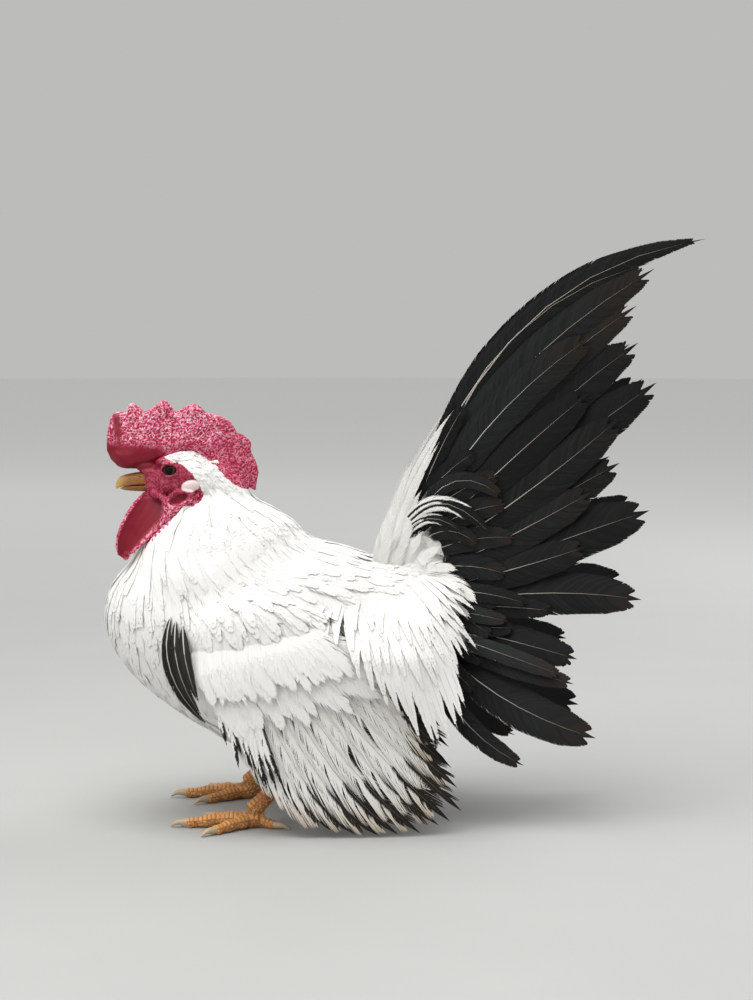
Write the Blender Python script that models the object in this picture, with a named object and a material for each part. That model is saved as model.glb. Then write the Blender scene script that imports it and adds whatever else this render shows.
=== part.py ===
"""A life-size Japanese bantam cock, black-tailed white, standing with dropped wings.

Metres, +Z up. The bird faces -X, its left side is -Y, and it stands on the plane Z = 0.
The sizes below are in millimetres; the last step turns them into metres and centres the bird.
"""

import math
import random

import bmesh
import bpy
from mathutils import Vector
from mathutils.bvhtree import BVHTree

MM = 0.001
GAP = 0.3
FAR = 400
SIDES = {"left": -1, "right": 1}

# Colours as the plumage, skin and horn show them: linear red, green, blue, then roughness.
WHITE_PLUMAGE = ("white_plumage", (0.82, 0.80, 0.74), 0.75)
BLACK_PLUMAGE = ("black_plumage", (0.012, 0.013, 0.015), 0.45)
RED_SKIN = ("red_skin", (0.55, 0.02, 0.06), 0.5)
LOBE_SKIN = ("lobe_skin", (0.80, 0.62, 0.62), 0.55)
LEG_SKIN = ("leg_skin", (0.55, 0.20, 0.04), 0.55)
BEAK_HORN = ("beak_horn", (0.65, 0.38, 0.07), 0.35)
CLAW_HORN = ("claw_horn", (0.62, 0.52, 0.34), 0.4)
EYE_GLASS = ("eye_glass", (0.03, 0.012, 0.008), 0.08)

# Feathers: thickness of a vane, and the share of it that is left near the tip, step from one vane
# to the one over it, its largest lean, and how far tips and widths stray.
VANE_THICKNESS, VANE_TIP_FROM, VANE_TIP_SHARE = 0.6, 0.9, 0.7
VANE_STEP, MOST_LEAN = 1.0, 1.8
TIP_STRAY, WIDTH_STRAY = 1.1, 0.05
# Outlines of a vane: share of its length, share of its half width.
ROUND_VANE = ((0.15, 0.55), (0.38, 0.92), (0.62, 1.0), (0.84, 0.85), (0.96, 0.45))
POINTED_VANE = ((0.2, 0.7), (0.48, 1.0), (0.74, 0.78), (0.92, 0.35))

# Trunk: x, top of the back, bottom of the belly, half width.
TRUNK_SIDES = 20
TRUNK_TIPS = ((-173, 118), (24, 122))
TRUNK_STATIONS = (
    (-170, 131, 105, 14), (-163, 145, 90, 27), (-150, 157, 74, 38), (-132, 164, 60, 48),
    (-110, 168, 46, 54), (-85, 169, 36, 56), (-60, 167, 32, 55), (-38, 163, 36, 51),
    (-20, 156, 46, 45), (-4, 152, 60, 40), (10, 147, 78, 32), (19, 138, 98, 19),
)
SADDLE_CUT_X = -24

# Neck: height, front, back, half width.
NECK_SIDES = 18
NECK_TIPS = ((-111, 203), (-100, 142))
NECK_STATIONS = (
    (200, -117, -103, 7), (192, -124, -93, 12), (184, -133, -78, 21), (176, -141, -63, 30),
    (169, -146, -54, 37), (161, -150, -60, 38), (150, -148, -74, 28),
)
# Hackles radiate from a point inside the shoulders: tiers by count, half width, climb of the
# root, climb of a tip behind and of a tip at the side, and lift off the body.
CAPE_CENTRE = (-105, 0, 130)
CAPE_TIERS = (
    (15, 8.5, 48, 29, 15, 2.6),
    (12, 7.0, 60, 41, 28, 5.4),
)
# How far round the hackles go, how fast their tips drop toward the side, how far tips stray,
# how deep roots start, where a vane has reached its lift, its thickness and largest lean.
CAPE_REACH, CAPE_SIDE_GAIN, CAPE_STRAY = 132, 1.35, 1.5
CAPE_SINK, CAPE_SETTLED, CAPE_THICKNESS, CAPE_MOST_LEAN = 3, 0.35, 0.8, 1.5

# Head: x, top, bottom, half width.
HEAD_SIDES = 14
HEAD_TIPS = ((-152, 196), (-98, 195))
HEAD_STATIONS = (
    (-149, 201, 189.5, 5.5), (-144, 205, 186, 8.5), (-137, 209.5, 184, 11.5),
    (-129, 212.5, 183, 14), (-120, 213.5, 182, 15), (-111, 211, 181, 14.5), (-103, 205, 184, 10.5),
)
EYE_AT, EYE_RADIUS, EYE_YAW = (-131.5, 10.2, 202), 5, 12
LID_RADIUS, LID_BEAD, LID_OUT = 4.8, 1.1, 2.6
LOBE_AT, LOBE_SIZE = (-119, 14.2, 194), (5.6, 1.9, 3.5)
LAPPET_AT, LAPPET_SIZE = (-127, 12.5, 187.5), (6.5, 3.2, 4.6)
HOLLOW_AT, HOLLOW_SIZE = (-126.5, 16.2, 187.3), (4.4, 2.0, 2.9)
MOUTH_AT, MOUTH_SIZE = (-145, 7.6, 192.6), (5.5, 2.4, 0.45)

# Bill: x, top, bottom, half width, from inside the face to the tip.
BILL_SIDES = 12
UPPER_BILL_TIPS = ((-139, 197), (-165, 191.2))
UPPER_BILL = (
    (-143, 200.8, 193, 4.6), (-149, 200.2, 193, 4.6), (-155, 199.4, 192.6, 4),
    (-160, 198.4, 192, 3.1), (-163.6, 196, 191, 1.6),
)
LOWER_BILL_TIPS = ((-139, 190), (-161.6, 190.2))
LOWER_BILL = (
    (-143, 192.5, 188.2, 4), (-150, 192.5, 188.4, 3.6), (-156, 192.1, 189, 2.5),
    (-160, 191.4, 189.7, 1.3),
)
NOSTRIL_AT, NOSTRIL_SIZE = (-151, 4.4, 197.6), (1.7, 0.9, 0.6)

# Comb ribs from front to back: base x and z, crest x and z, half thickness. The crest rises to
# seven broad blunt points, with a shallow dip after each.
COMB_TIPS = ((-167, 208), (-83.5, 190.5))
COMB_RIBS = (
    (-163, 203.5, -169.6, 212, 3.5), (-160, 203, -168.6, 224, 6), (-157, 202.5, -164.5, 234.5, 7.5),
    (-153, 202.8, -158.8, 234.6, 8), (-150, 203.2, -154, 240.6, 7.5), (-146, 204.5, -149.2, 236.8, 7.2),
    (-143, 206, -145.5, 234.6, 6.8), (-140, 207.5, -141.3, 238.6, 6.4), (-136, 208.5, -136.3, 242, 6),
    (-132, 210, -131.9, 238.6, 6), (-129, 211, -128.9, 235.2, 6), (-125, 212, -124.4, 238.6, 5.8),
    (-121, 212.5, -119.4, 239.8, 5.5), (-118, 212, -115.2, 237.6, 5.5), (-115, 211, -111.9, 233.6, 5.3),
    (-111, 209, -106.8, 234.2, 5), (-108, 207, -102.6, 232.8, 5), (-105, 205, -98, 228.9, 4.7),
    (-103, 203.5, -94.2, 223, 4.4), (-100, 201.5, -90.6, 222, 4.2), (-98, 200, -87.2, 218.6, 4),
    (-95.5, 198.5, -85.6, 212.6, 3.6), (-93, 197, -83, 209.6, 3.4), (-91, 196, -82, 204, 3),
    (-88.5, 194.5, -82.4, 198.6, 2.6), (-86.5, 193, -82.2, 194.6, 2),
)
# Share of a rib's height, share of its half thickness.
COMB_PROFILE = ((0.0, 0.45), (0.14, 0.95), (0.4, 0.8), (0.72, 0.55), (0.93, 0.42), (1.0, 0.2))

# Wattle ribs from the jaw down: front x and z, rear x and z, middle y, half thickness of the rim.
WATTLE_TIPS = ((-139, 5, 190.5), (-159, 16, 151.5))
WATTLE_RIBS = (
    (-148, 189, -130, 188, 6.5, 2.0), (-154, 182.5, -127.5, 182, 9.5, 2.4),
    (-158.8, 174.5, -131, 174.5, 12.5, 2.5), (-162, 166.5, -139.5, 167, 14.5, 2.4),
    (-163, 159, -147.5, 160, 15.8, 2.1), (-162, 154, -154, 154.8, 16.2, 1.6),
)
WATTLE_CUP = 1.7

# Legs: hock and ankle of the left leg; the right foot stands a little further forward.
HOCK_AT, ANKLE_AT, THIGH_TOP = (-57, 33, 37), (-84, 36, 9.5), (-72, 29, 66)
RIGHT_FOOT_LEAD = 7
THIGH_RADII = (20, 19, 14, 7.5)
SHANK_RADII = (5.6, 4.8, 4.6, 5.2)
FOOT_SIZE = (7, 6, 5.5)
FOOT_DROP, SOLE_SINK, KNUCKLE_RISE = 4, 0.7, 0.9
# Toes: name, heading in degrees outward from straight ahead, length, root and tip radius.
TOES = (
    ("inner", -32, 27, 4.3, 2.9), ("middle", 2, 37, 4.7, 3.1), ("outer", 42, 27, 4.3, 2.9),
    ("back", 158, 13, 3.8, 2.6),
)
TOE_PAD, TOE_PAD_SHARE = 1.6, 0.7
CLAW_LENGTH, CLAW_RADIUS, CLAW_TIP_RADIUS = 10, 2.3, 0.45
CLAW_ROOT_SINK, CLAW_ARCH = 1.5, 1.1

# Feather tiers are drawn as seen from the side. A key feather is the x and z of its root, bend
# and tip, then its half width; the feathers between two keys are spread evenly.
# The wing lies on a curved sheet. It is widest in the middle and turns in toward four sides:
# for each, where that starts, over what distance, by how much, and how sharply.
WING_OUT = 66
WING_FRONT, WING_REAR = (-75, 60, 13, 2), (-45, 90, 9, 1.5)
WING_TOP, WING_FOOT = (78, 62, 17, 2), (70, 70, -3, 1)
WING_CORE_DEPTH = 9
WING_CORE = (
    (-130, 121), (-124, 132), (-108, 138), (-85, 139), (-60, 137), (-35, 131), (-18, 120),
    (-14, 108), (-22, 98), (-40, 90), (-62, 82), (-84, 73), (-104, 71), (-119, 82), (-128, 100),
)
FLIGHT_COUNT = 13
FLIGHT_KEYS = (
    (-104, 98, -93, 60, -74, 27, 5.5), (-100, 98, -84, 45, -61, 14, 7.5),
    (-95, 100, -74, 30, -45, 0, 9), (-88, 102, -60, 22, -27, -2, 9),
    (-80, 104, -44, 24, -8, -2, 9), (-72, 106, -30, 32, 11, -1, 9),
    (-64, 108, -18, 42, 26, 5, 9), (-56, 110, -10, 56, 34, 14, 9),
    (-50, 111, -8, 70, 27, 38, 9), (-46, 112, -10, 84, 15, 57, 8.5),
    (-44, 114, -14, 97, 0, 78, 8),
)
GREATER_COUNT = 8
GREATER_KEYS = (
    (-110, 92, -103, 78, -93, 58, 6.5), (-92, 100, -82, 84, -68, 64, 8),
    (-72, 106, -58, 88, -38, 68, 8), (-54, 110, -38, 95, -14, 78, 8),
    (-46, 114, -28, 105, -8, 94, 7),
)
MEDIAN_COUNT = 6
MEDIAN_KEYS = (
    (-116, 100, -111, 88, -104, 74, 7), (-96, 110, -89, 95, -79, 77, 8),
    (-72, 116, -62, 99, -50, 80, 8), (-54, 120, -40, 107, -28, 93, 7.5),
)
# The small black feathers of the wing's thumb, which lie over its front edge.
ALULA_COUNT = 2
ALULA_KEYS = ((-127, 118, -136, 88, -107, 65, 3.6), (-117, 112, -120, 90, -102, 70, 3.6))
# Lift of a tier out from its plane at the roots, then further on, and where it gets there.
FLIGHT_LIFT, GREATER_LIFT = (-5, -5, 10), (-4, -1.7, 14)
MEDIAN_LIFT, ALULA_LIFT = (-3, 1.5, 14), (-2, 4.1, 14)

# The saddle hangs on a sheet that leaves the back at a height, reaches the wing after a drop,
# and is tucked in behind it, under the tail.
SADDLE_TOP, SADDLE_DROP, SADDLE_OUT, SADDLE_WING_TOP = 154, 30, 14, 112
SADDLE_TUCK, SADDLE_TUCK_REACH, SADDLE_TUCK_FOOT = 18, 40, 70
SADDLE_COUNT = 8
SADDLE_KEYS = (
    (-14, 146, -27, 124, -20, 96, 4.5), (-12, 146, -14, 112, -1, 72, 5),
    (-8, 145, 0, 100, 15, 53, 5.5), (-3, 144, 18, 112, 35, 62, 6.5),
    (1, 142, 21, 122, 31, 93, 5), (5, 140, 25, 128, 41, 104, 4.5),
)
UPPER_SADDLE_COUNT = 6
UPPER_SADDLE_KEYS = (
    (-14, 149, -30, 140, -31, 117, 5), (-11, 149, -12, 130, -5, 103, 5),
    (-6, 148, 6, 130, 15, 100, 5), (-1, 147, 18, 140, 33, 124, 5),
    (3, 145, 22, 146, 40, 136, 4.5),
)
SADDLE_LIFT, UPPER_SADDLE_LIFT = (-20, 4.9, 20), (-17, 7.6, 20)

# The tail's side lies on a sheet that spreads from its root: how far out it starts, the spread
# of the topmost feathers, what the lowest add, the turn where that starts and its range.
TAIL_ROOT = (6, 125)
TAIL_OUT, TAIL_SPREAD, TAIL_SPREAD_BELOW = 6, 0.03, 0.33
TAIL_TURN, TAIL_TURN_RANGE, TAIL_TURN_POWER = 80, 110, 1.3
TAIL_CORE_DEPTH = 28
TAIL_CORE = (
    (-10, 150), (-6, 170), (2, 190), (14, 200), (27, 194), (37, 178), (43, 158), (44, 136),
    (40, 114), (31, 98), (17, 90), (4, 98), (-6, 120),
)
TAIL_FEATHERS = (
    (8, 164, 40, 254, 143, 317, 10.5), (9, 159, 52, 242, 134, 296, 11),
    (10, 153, 66, 226, 135, 275, 12), (12, 147, 76, 204, 144, 254, 14.5),
    (14, 139, 76, 180, 124, 207, 13), (15, 131, 82, 160, 141, 180, 14.5),
    (16, 123, 80, 138, 136, 131, 12.5), (17, 115, 64, 106, 100, 97, 10),
    (17, 108, 50, 68, 110, 55, 12.5), (15, 102, 26, 56, 70, 37, 6.5),
)
SICKLE = (9, 170, 48, 314, 171, 333, 9.5)
TAIL_COVERTS = (
    (6, 168, 16, 206, 37, 240, 5), (8, 161, 42, 234, 108, 279, 12),
    (10, 155, 58, 206, 106, 247, 12), (12, 148, 72, 186, 124, 233, 12.5),
    (14, 140, 64, 164, 108, 192, 11.5), (15, 132, 62, 144, 106, 160, 11),
    (16, 124, 50, 126, 88, 124, 6.5), (16, 116, 42, 112, 66, 112, 6),
    (16, 109, 50, 94, 97, 83, 6.5),
)
LACED_COVERT = (4, 160, 18, 206, 50, 165, 4.5)
SICKLE_LIFT, TAIL_LIFT = (-6, -2.8, 30), (-7, 0, 30)
COVERT_LIFT, LACED_LIFT = (-6, 2.8, 30), (-5, 6, 24)


def material(finish):
    """The shared material of a finish, made the first time that it is asked for."""
    name, colour, roughness = finish
    found = bpy.data.materials.get(name)
    if found:
        return found
    made = bpy.data.materials.new(name)
    made.use_nodes = True
    shader = made.node_tree.nodes["Principled BSDF"]
    shader.inputs["Base Color"].default_value = (*colour, 1)
    shader.inputs["Roughness"].default_value = roughness
    return made


def object_from(bm, name, finish, home):
    """Turns a bmesh into a closed, outward-facing, smooth object in a collection."""
    bmesh.ops.recalc_face_normals(bm, faces=bm.faces)
    mesh = bpy.data.meshes.new(name)
    bm.to_mesh(mesh)
    bm.free()
    mesh.materials.append(material(finish))
    mesh.shade_smooth()
    made = bpy.data.objects.new(name, mesh)
    home.objects.link(made)
    return made


def bridge(bm, lower, upper):
    """Faces between two rings; a ring of one vertex is a pole."""
    count = max(len(lower), len(upper))
    for i in range(count):
        j = (i + 1) % count
        if len(lower) == 1:
            bm.faces.new((lower[0], upper[j], upper[i]))
        elif len(upper) == 1:
            bm.faces.new((lower[i], lower[j], upper[0]))
        else:
            bm.faces.new((lower[i], lower[j], upper[j], upper[i]))


def loft(name, rings, finish, home):
    """A closed form over rings that start and end in a pole."""
    bm = bmesh.new()
    rows = [[bm.verts.new(point) for point in ring] for ring in rings]
    for lower, upper in zip(rows, rows[1:]):
        bridge(bm, lower, upper)
    return object_from(bm, name, finish, home)


def blade(name, root, rings, tip, finish, home):
    """A thin closed vane over rings of four corners, cut into triangles alike on both faces."""
    bm = bmesh.new()
    rows = [[bm.verts.new(point) for point in ring] for ring in rings]
    bridge(bm, [bm.verts.new(root)], rows[0])
    for low, high in zip(rows, rows[1:]):
        for i in range(4):
            j = (i + 1) % 4
            if i == 2:
                bm.faces.new((low[i], low[j], high[i]))
                bm.faces.new((low[j], high[j], high[i]))
            else:
                bm.faces.new((low[i], low[j], high[j]))
                bm.faces.new((low[i], high[j], high[i]))
    bridge(bm, rows[-1], [bm.verts.new(tip)])
    return object_from(bm, name, finish, home)


def ball(name, at, size, segments, finish, home):
    """An ellipsoid with three half axes."""
    bm = bmesh.new()
    bmesh.ops.create_uvsphere(bm, u_segments=segments, v_segments=segments // 2 + 1, radius=1)
    bmesh.ops.scale(bm, vec=Vector(size), verts=bm.verts)
    bmesh.ops.translate(bm, vec=Vector(at), verts=bm.verts)
    return object_from(bm, name, finish, home)


def block(name, low, high, home):
    """A plain box, used to cut at a plane."""
    bm = bmesh.new()
    bmesh.ops.create_cube(bm, size=1)
    size = Vector(high) - Vector(low)
    bmesh.ops.scale(bm, vec=size, verts=bm.verts)
    bmesh.ops.translate(bm, vec=Vector(low) + size / 2, verts=bm.verts)
    return object_from(bm, name, WHITE_PLUMAGE, home)


def tapered_tube(name, points, radii, finish, home, resolution=2):
    """A limb, toe or claw: a POLY curve with a radius at each point, turned into a closed mesh."""
    curve = bpy.data.curves.new(name, "CURVE")
    curve.dimensions = "3D"
    curve.bevel_depth = 1
    curve.bevel_resolution = resolution
    curve.use_fill_caps = True
    spline = curve.splines.new("POLY")
    spline.points.add(len(points) - 1)
    for knot, point, radius in zip(spline.points, points, radii):
        knot.co = (*point, 1)
        knot.radius = radius
    guide = bpy.data.objects.new(name + "_guide", curve)
    home.objects.link(guide)
    graph = bpy.context.evaluated_depsgraph_get()
    mesh = bpy.data.meshes.new_from_object(guide.evaluated_get(graph))
    bpy.data.objects.remove(guide)
    bm = bmesh.new()
    bm.from_mesh(mesh)
    bpy.data.meshes.remove(mesh)
    bmesh.ops.remove_doubles(bm, verts=bm.verts, dist=0.0001)
    return object_from(bm, name, finish, home)


def apply_modifiers(obj):
    """Freezes an object's modifiers into its mesh."""
    bpy.context.view_layer.update()
    graph = bpy.context.evaluated_depsgraph_get()
    mesh = bpy.data.meshes.new_from_object(obj.evaluated_get(graph))
    obj.modifiers.clear()
    obj.data = mesh


def keep_largest(obj):
    """Deletes all but the largest closed surface of an object."""
    bm = bmesh.new()
    bm.from_mesh(obj.data)
    left, groups = set(bm.faces), []
    while left:
        group, waiting = set(), [left.pop()]
        while waiting:
            face = waiting.pop()
            group.add(face)
            for edge in face.edges:
                for other in edge.link_faces:
                    if other in left:
                        left.discard(other)
                        waiting.append(other)
        groups.append(group)
    groups.sort(key=lambda group: -sum(face.calc_area() for face in group))
    scraps = [face for group in groups[1:] for face in group]
    bmesh.ops.delete(bm, geom=scraps, context="FACES")
    bm.to_mesh(obj.data)
    bm.free()


def join(node, pieces, home, solver="MANIFOLD"):
    """Fuses closed pieces into a node by one Boolean union and removes them."""
    group = bpy.data.collections.new(node.name + "_pieces")
    bpy.context.scene.collection.children.link(group)
    for piece in pieces:
        home.objects.unlink(piece)
        group.objects.link(piece)
    union = node.modifiers.new("union", "BOOLEAN")
    union.operation = "UNION"
    union.operand_type = "COLLECTION"
    union.collection = group
    union.solver = solver
    apply_modifiers(node)
    for piece in pieces:
        bpy.data.objects.remove(piece)
    bpy.data.collections.remove(group)
    keep_largest(node)


def cut(node, cutters, solver="MANIFOLD"):
    """Cuts closed meshes away from a node and removes them."""
    for cutter in cutters:
        step = node.modifiers.new("cut", "BOOLEAN")
        step.operation = "DIFFERENCE"
        step.object = cutter
        step.solver = solver
        apply_modifiers(node)
        bpy.data.objects.remove(cutter)
    keep_largest(node)


def swollen(piece, by=GAP):
    """A piece with its surface moved outward, to cut a neighbour clear of what it stands for."""
    for vertex in piece.data.vertices:
        vertex.co += vertex.normal * by
    return piece


def grown(obj, home, by=GAP):
    """A swollen copy of a closed object."""
    copy = obj.copy()
    copy.data = obj.data.copy()
    copy.name = obj.name + "_cutter"
    home.objects.link(copy)
    return swollen(copy, by)


def floor_block(home):
    """Everything under the ground plane."""
    return block("ground_cutter", (-FAR, -FAR, -FAR), (FAR, FAR, 0), home)


def between(start, end, share):
    """The point at a share of the way from start to end."""
    return Vector(start) + (Vector(end) - Vector(start)) * share


def mirrored(at, side):
    """A left or right copy of a place given for +Y."""
    return Vector((at[0], side * at[1], at[2]))


def body_rings(stations, tips, sides):
    """Rings across X for a form given by x, top, bottom and half width."""
    turns = [2 * math.pi * i / sides for i in range(sides)]
    rings = [[(tips[0][0], 0, tips[0][1])]]
    for x, top, bottom, half in stations:
        middle, tall = (top + bottom) / 2, (top - bottom) / 2
        rings.append([(x, half * math.cos(a), middle + tall * math.sin(a)) for a in turns])
    rings.append([(tips[1][0], 0, tips[1][1])])
    return rings


def neck_rings():
    """Level rings from the skull down into the shoulders."""
    turns = [2 * math.pi * i / NECK_SIDES for i in range(NECK_SIDES)]
    rings = [[(NECK_TIPS[0][0], 0, NECK_TIPS[0][1])]]
    for z, front, back, half in NECK_STATIONS:
        middle, long = (front + back) / 2, (back - front) / 2
        rings.append([(middle + long * math.cos(a), half * math.sin(a), z) for a in turns])
    rings.append([(NECK_TIPS[1][0], 0, NECK_TIPS[1][1])])
    return rings


def comb_rings():
    """Upright rings along the comb, thick at the base and thin at the crest."""
    rings = [[(COMB_TIPS[0][0], 0, COMB_TIPS[0][1])]]
    for base_x, base_z, crest_x, crest_z, thick in COMB_RIBS:
        rib = []
        for share, width in COMB_PROFILE:
            x = base_x + share * (crest_x - base_x)
            z = base_z + share * (crest_z - base_z)
            rib.append((x, thick * width, z))
        rings.append(rib + [(x, -y, z) for x, y, z in reversed(rib)])
    rings.append([(COMB_TIPS[1][0], 0, COMB_TIPS[1][1])])
    return rings


def wattle_rings(side):
    """Cupped rings down one wattle: a thin hollow web between two thick rims."""
    top, tip = WATTLE_TIPS
    rings = [[mirrored(top, side)]]
    for front_x, front_z, rear_x, rear_z, out, rim in WATTLE_RIBS:
        outer, inner = [], []
        for across in (-1, -0.8, -0.4, 0.4, 0.8, 1):
            share = (1 + across) / 2
            x = front_x + share * (rear_x - front_x)
            z = front_z + share * (rear_z - front_z)
            hollow = WATTLE_CUP * (1 - across**4)
            half = rim * (0.25 if abs(across) == 1 else 0.55 + 0.45 * across**2)
            outer.append(mirrored((x, out - hollow + half, z), side))
            inner.append(mirrored((x, out - hollow * 0.3 - half, z), side))
        rings.append(outer + inner[::-1])
    rings.append([mirrored(tip, side)])
    return rings


def clipped(value):
    """A share kept between 0 and 1."""
    return min(1.0, max(0.0, value))


def wing_plane(x, z):
    """How far out the wing lies at a place seen from the side."""
    turns = (
        (WING_FRONT, WING_FRONT[0] - x), (WING_REAR, x - WING_REAR[0]),
        (WING_TOP, z - WING_TOP[0]), (WING_FOOT, WING_FOOT[0] - z),
    )
    out = WING_OUT
    for (_, over, by, power), beyond in turns:
        out -= by * max(0.0, beyond / over) ** power
    return out


def saddle_plane(x, z):
    """How far out the saddle hangs: from the back over the wing's rear edge."""
    drop = clipped((SADDLE_TOP - z) / SADDLE_DROP)
    foot = clipped((z - SADDLE_TUCK_FOOT) / SADDLE_DROP)
    tuck = SADDLE_TUCK * (max(0.0, x) / SADDLE_TUCK_REACH) ** 2 * foot
    wing = wing_plane(x, min(z, SADDLE_WING_TOP))
    return SADDLE_OUT + math.sin(drop * math.pi / 2) * (wing - SADDLE_OUT) - tuck


def tail_plane(x, z):
    """How far out the tail's side lies: the lower a feather points, the wider it spreads."""
    dx, dz = x - TAIL_ROOT[0], z - TAIL_ROOT[1]
    reach, turn = math.hypot(dx, dz), math.degrees(math.atan2(dz, dx))
    lower = clipped((TAIL_TURN - turn) / TAIL_TURN_RANGE)
    return TAIL_OUT + reach * (TAIL_SPREAD + TAIL_SPREAD_BELOW * lower**TAIL_TURN_POWER)


def pad(name, outline, plane, side, depth, finish, home, rim=0.25):
    """A rounded plate with its outline drawn from the side, its outer face on a plane."""
    points = [Vector(place) for place in outline]
    centre = sum(points, Vector((0, 0))) / len(points)
    outer, inner = [], []
    for share, thick in ((1.0, rim), (0.86, 0.75 + rim / 4), (0.55, 1.0)):
        places = [centre + (point - centre) * share for point in points]
        half = depth * thick / 2
        middle = [plane(p.x, p.y) - depth / 2 for p in places]
        outer.append([(p.x, side * (m + half), p.y) for p, m in zip(places, middle)])
        inner.append([(p.x, side * (m - half), p.y) for p, m in zip(places, middle)])
    face = plane(centre.x, centre.y)
    rings = [[(centre.x, side * face, centre.y)], *reversed(outer), *inner]
    rings.append([(centre.x, side * (face - depth), centre.y)])
    return loft(name, rings, finish, home)


def spread(keys, count):
    """Feathers laid out evenly between key feathers, with tips that stray a little."""
    feathers = []
    for i in range(count):
        place = i * (len(keys) - 1) / (count - 1)
        k = min(int(place), len(keys) - 2)
        feather = [a + (b - a) * (place - k) for a, b in zip(keys[k], keys[k + 1])]
        feathers.append(feather)
    return [strayed(feather) for feather in feathers]


def strayed(feather):
    """A feather with its tip and width varied a little."""
    *places, tip_x, tip_z, half = feather
    tip_x += random.uniform(-TIP_STRAY, TIP_STRAY)
    tip_z += random.uniform(-TIP_STRAY, TIP_STRAY)
    return (*places, tip_x, tip_z, half * random.uniform(1 - WIDTH_STRAY, 1 + WIDTH_STRAY))


def shaft_point(feather, share):
    """A place on a feather's curved shaft, seen from the side."""
    root_x, root_z, bend_x, bend_z, tip_x, tip_z, _ = feather
    rest = 1 - share
    return Vector((
        rest * rest * root_x + 2 * rest * share * bend_x + share * share * tip_x,
        rest * rest * root_z + 2 * rest * share * bend_z + share * share * tip_z,
    ))


def tier(prefix, feathers, shape, plane, side, lift, finish, home):
    """Overlapping vanes on a plane: the front edge of each lies over the feather before it."""
    vanes = []
    for i, feather in enumerate(feathers):
        near = [other for other in (i - 1, i + 1) if 0 <= other < len(feathers)]
        rings, ends = [], []
        for share, width in ((0.0, 0.0), *shape, (1.0, 0.0)):
            place = shaft_point(feather, share)
            ahead = shaft_point(feather, share + 0.02) - shaft_point(feather, share - 0.02)
            across = Vector((-ahead.y, ahead.x)).normalized()
            half = feather[6] * width
            apart = [(shaft_point(feathers[j], share) - place).length for j in near]
            apart = sum(apart) / len(apart) if apart else 2 * feather[6]
            gone = (place - shaft_point(feather, 0)).length
            level = lift[0] + (lift[1] - lift[0]) * min(1.0, gone / lift[2])
            lean = VANE_STEP * min(MOST_LEAN, half / max(apart, GAP))
            thick = VANE_THICKNESS / 2 * (VANE_TIP_SHARE if share > VANE_TIP_FROM else 1)
            corners = []
            for way in (1, -1):
                spot = place + across * half * way
                out = plane(spot.x, spot.y) + level - lean * way
                corners.append((spot, out))
            if width == 0.0:
                ends.append((place.x, side * corners[0][1], place.y))
                continue
            (high, high_out), (low, low_out) = corners
            rings.append((
                (high.x, side * (high_out + thick), high.y), (low.x, side * (low_out + thick), low.y),
                (low.x, side * (low_out - thick), low.y), (high.x, side * (high_out - thick), high.y),
            ))
        vanes.append(blade(f"{prefix}_{i}", ends[0], rings, ends[1], finish, home))
    return vanes


def surface_tree(objects):
    """A search tree over the joint surface of several objects."""
    points, faces = [], []
    for obj in objects:
        first = len(points)
        points.extend(vertex.co.copy() for vertex in obj.data.vertices)
        faces.extend([first + index for index in face.vertices] for face in obj.data.polygons)
    return BVHTree.FromPolygons(points, faces)


def cape_point(tree, turn, climb, lift):
    """The body's surface as seen from far off in a direction, lifted outward."""
    flat = math.cos(climb)
    ray = Vector((flat * math.cos(turn), flat * math.sin(turn), math.sin(climb)))
    place, *_ = tree.ray_cast(Vector(CAPE_CENTRE) + ray * FAR, -ray)
    return place + ray * lift


def cape_tier(prefix, tree, count, half, root, tip_back, tip_side, lift, home):
    """Hackles that lie down the neck and over the shoulders."""
    vanes = []
    for i in range(count):
        turn = math.radians(-CAPE_REACH + 2 * CAPE_REACH * i / (count - 1))
        sideways = clipped(abs(math.sin(turn / 2)) * CAPE_SIDE_GAIN)
        tip = tip_back + (tip_side - tip_back) * sideways + random.uniform(-CAPE_STRAY, CAPE_STRAY)
        apart = 2 * math.radians(CAPE_REACH) / (count - 1)
        rings, ends = [], []
        for share, width in ((0.0, 0.0), *POINTED_VANE, (1.0, 0.0)):
            climb = math.radians(root + (tip - root) * share)
            level = -CAPE_SINK + (lift + CAPE_SINK) * min(1.0, share / CAPE_SETTLED)
            middle = cape_point(tree, turn, climb, level)
            if width == 0.0:
                ends.append(middle)
                continue
            reach = math.hypot(middle.x - CAPE_CENTRE[0], middle.y)
            swing = math.atan(half * width / max(reach, 8))
            lean = VANE_STEP * min(CAPE_MOST_LEAN, swing / apart)
            thick = CAPE_THICKNESS / 2
            rings.append((
                cape_point(tree, turn + swing, climb, level + lean + thick),
                cape_point(tree, turn - swing, climb, level - lean + thick),
                cape_point(tree, turn - swing, climb, level - lean - thick),
                cape_point(tree, turn + swing, climb, level + lean - thick),
            ))
        vanes.append(blade(f"{prefix}_{i}", ends[0], rings, ends[1], WHITE_PLUMAGE, home))
    return vanes


def make_trunk(home):
    """Breast and back in one piece, and the core of the saddle behind a thin cut."""
    rings = body_rings(TRUNK_STATIONS, TRUNK_TIPS, TRUNK_SIDES)
    torso = loft("torso", rings, WHITE_PLUMAGE, home)
    saddle = loft("saddle", rings, WHITE_PLUMAGE, home)
    rear, front = SADDLE_CUT_X - GAP / 2, SADDLE_CUT_X + GAP / 2
    cut(torso, [block("rear_cutter", (rear, -FAR, -FAR), (FAR, FAR, FAR), home)])
    cut(saddle, [block("front_cutter", (-FAR, -FAR, -FAR), (front, FAR, FAR), home)])
    return torso, saddle


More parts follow.
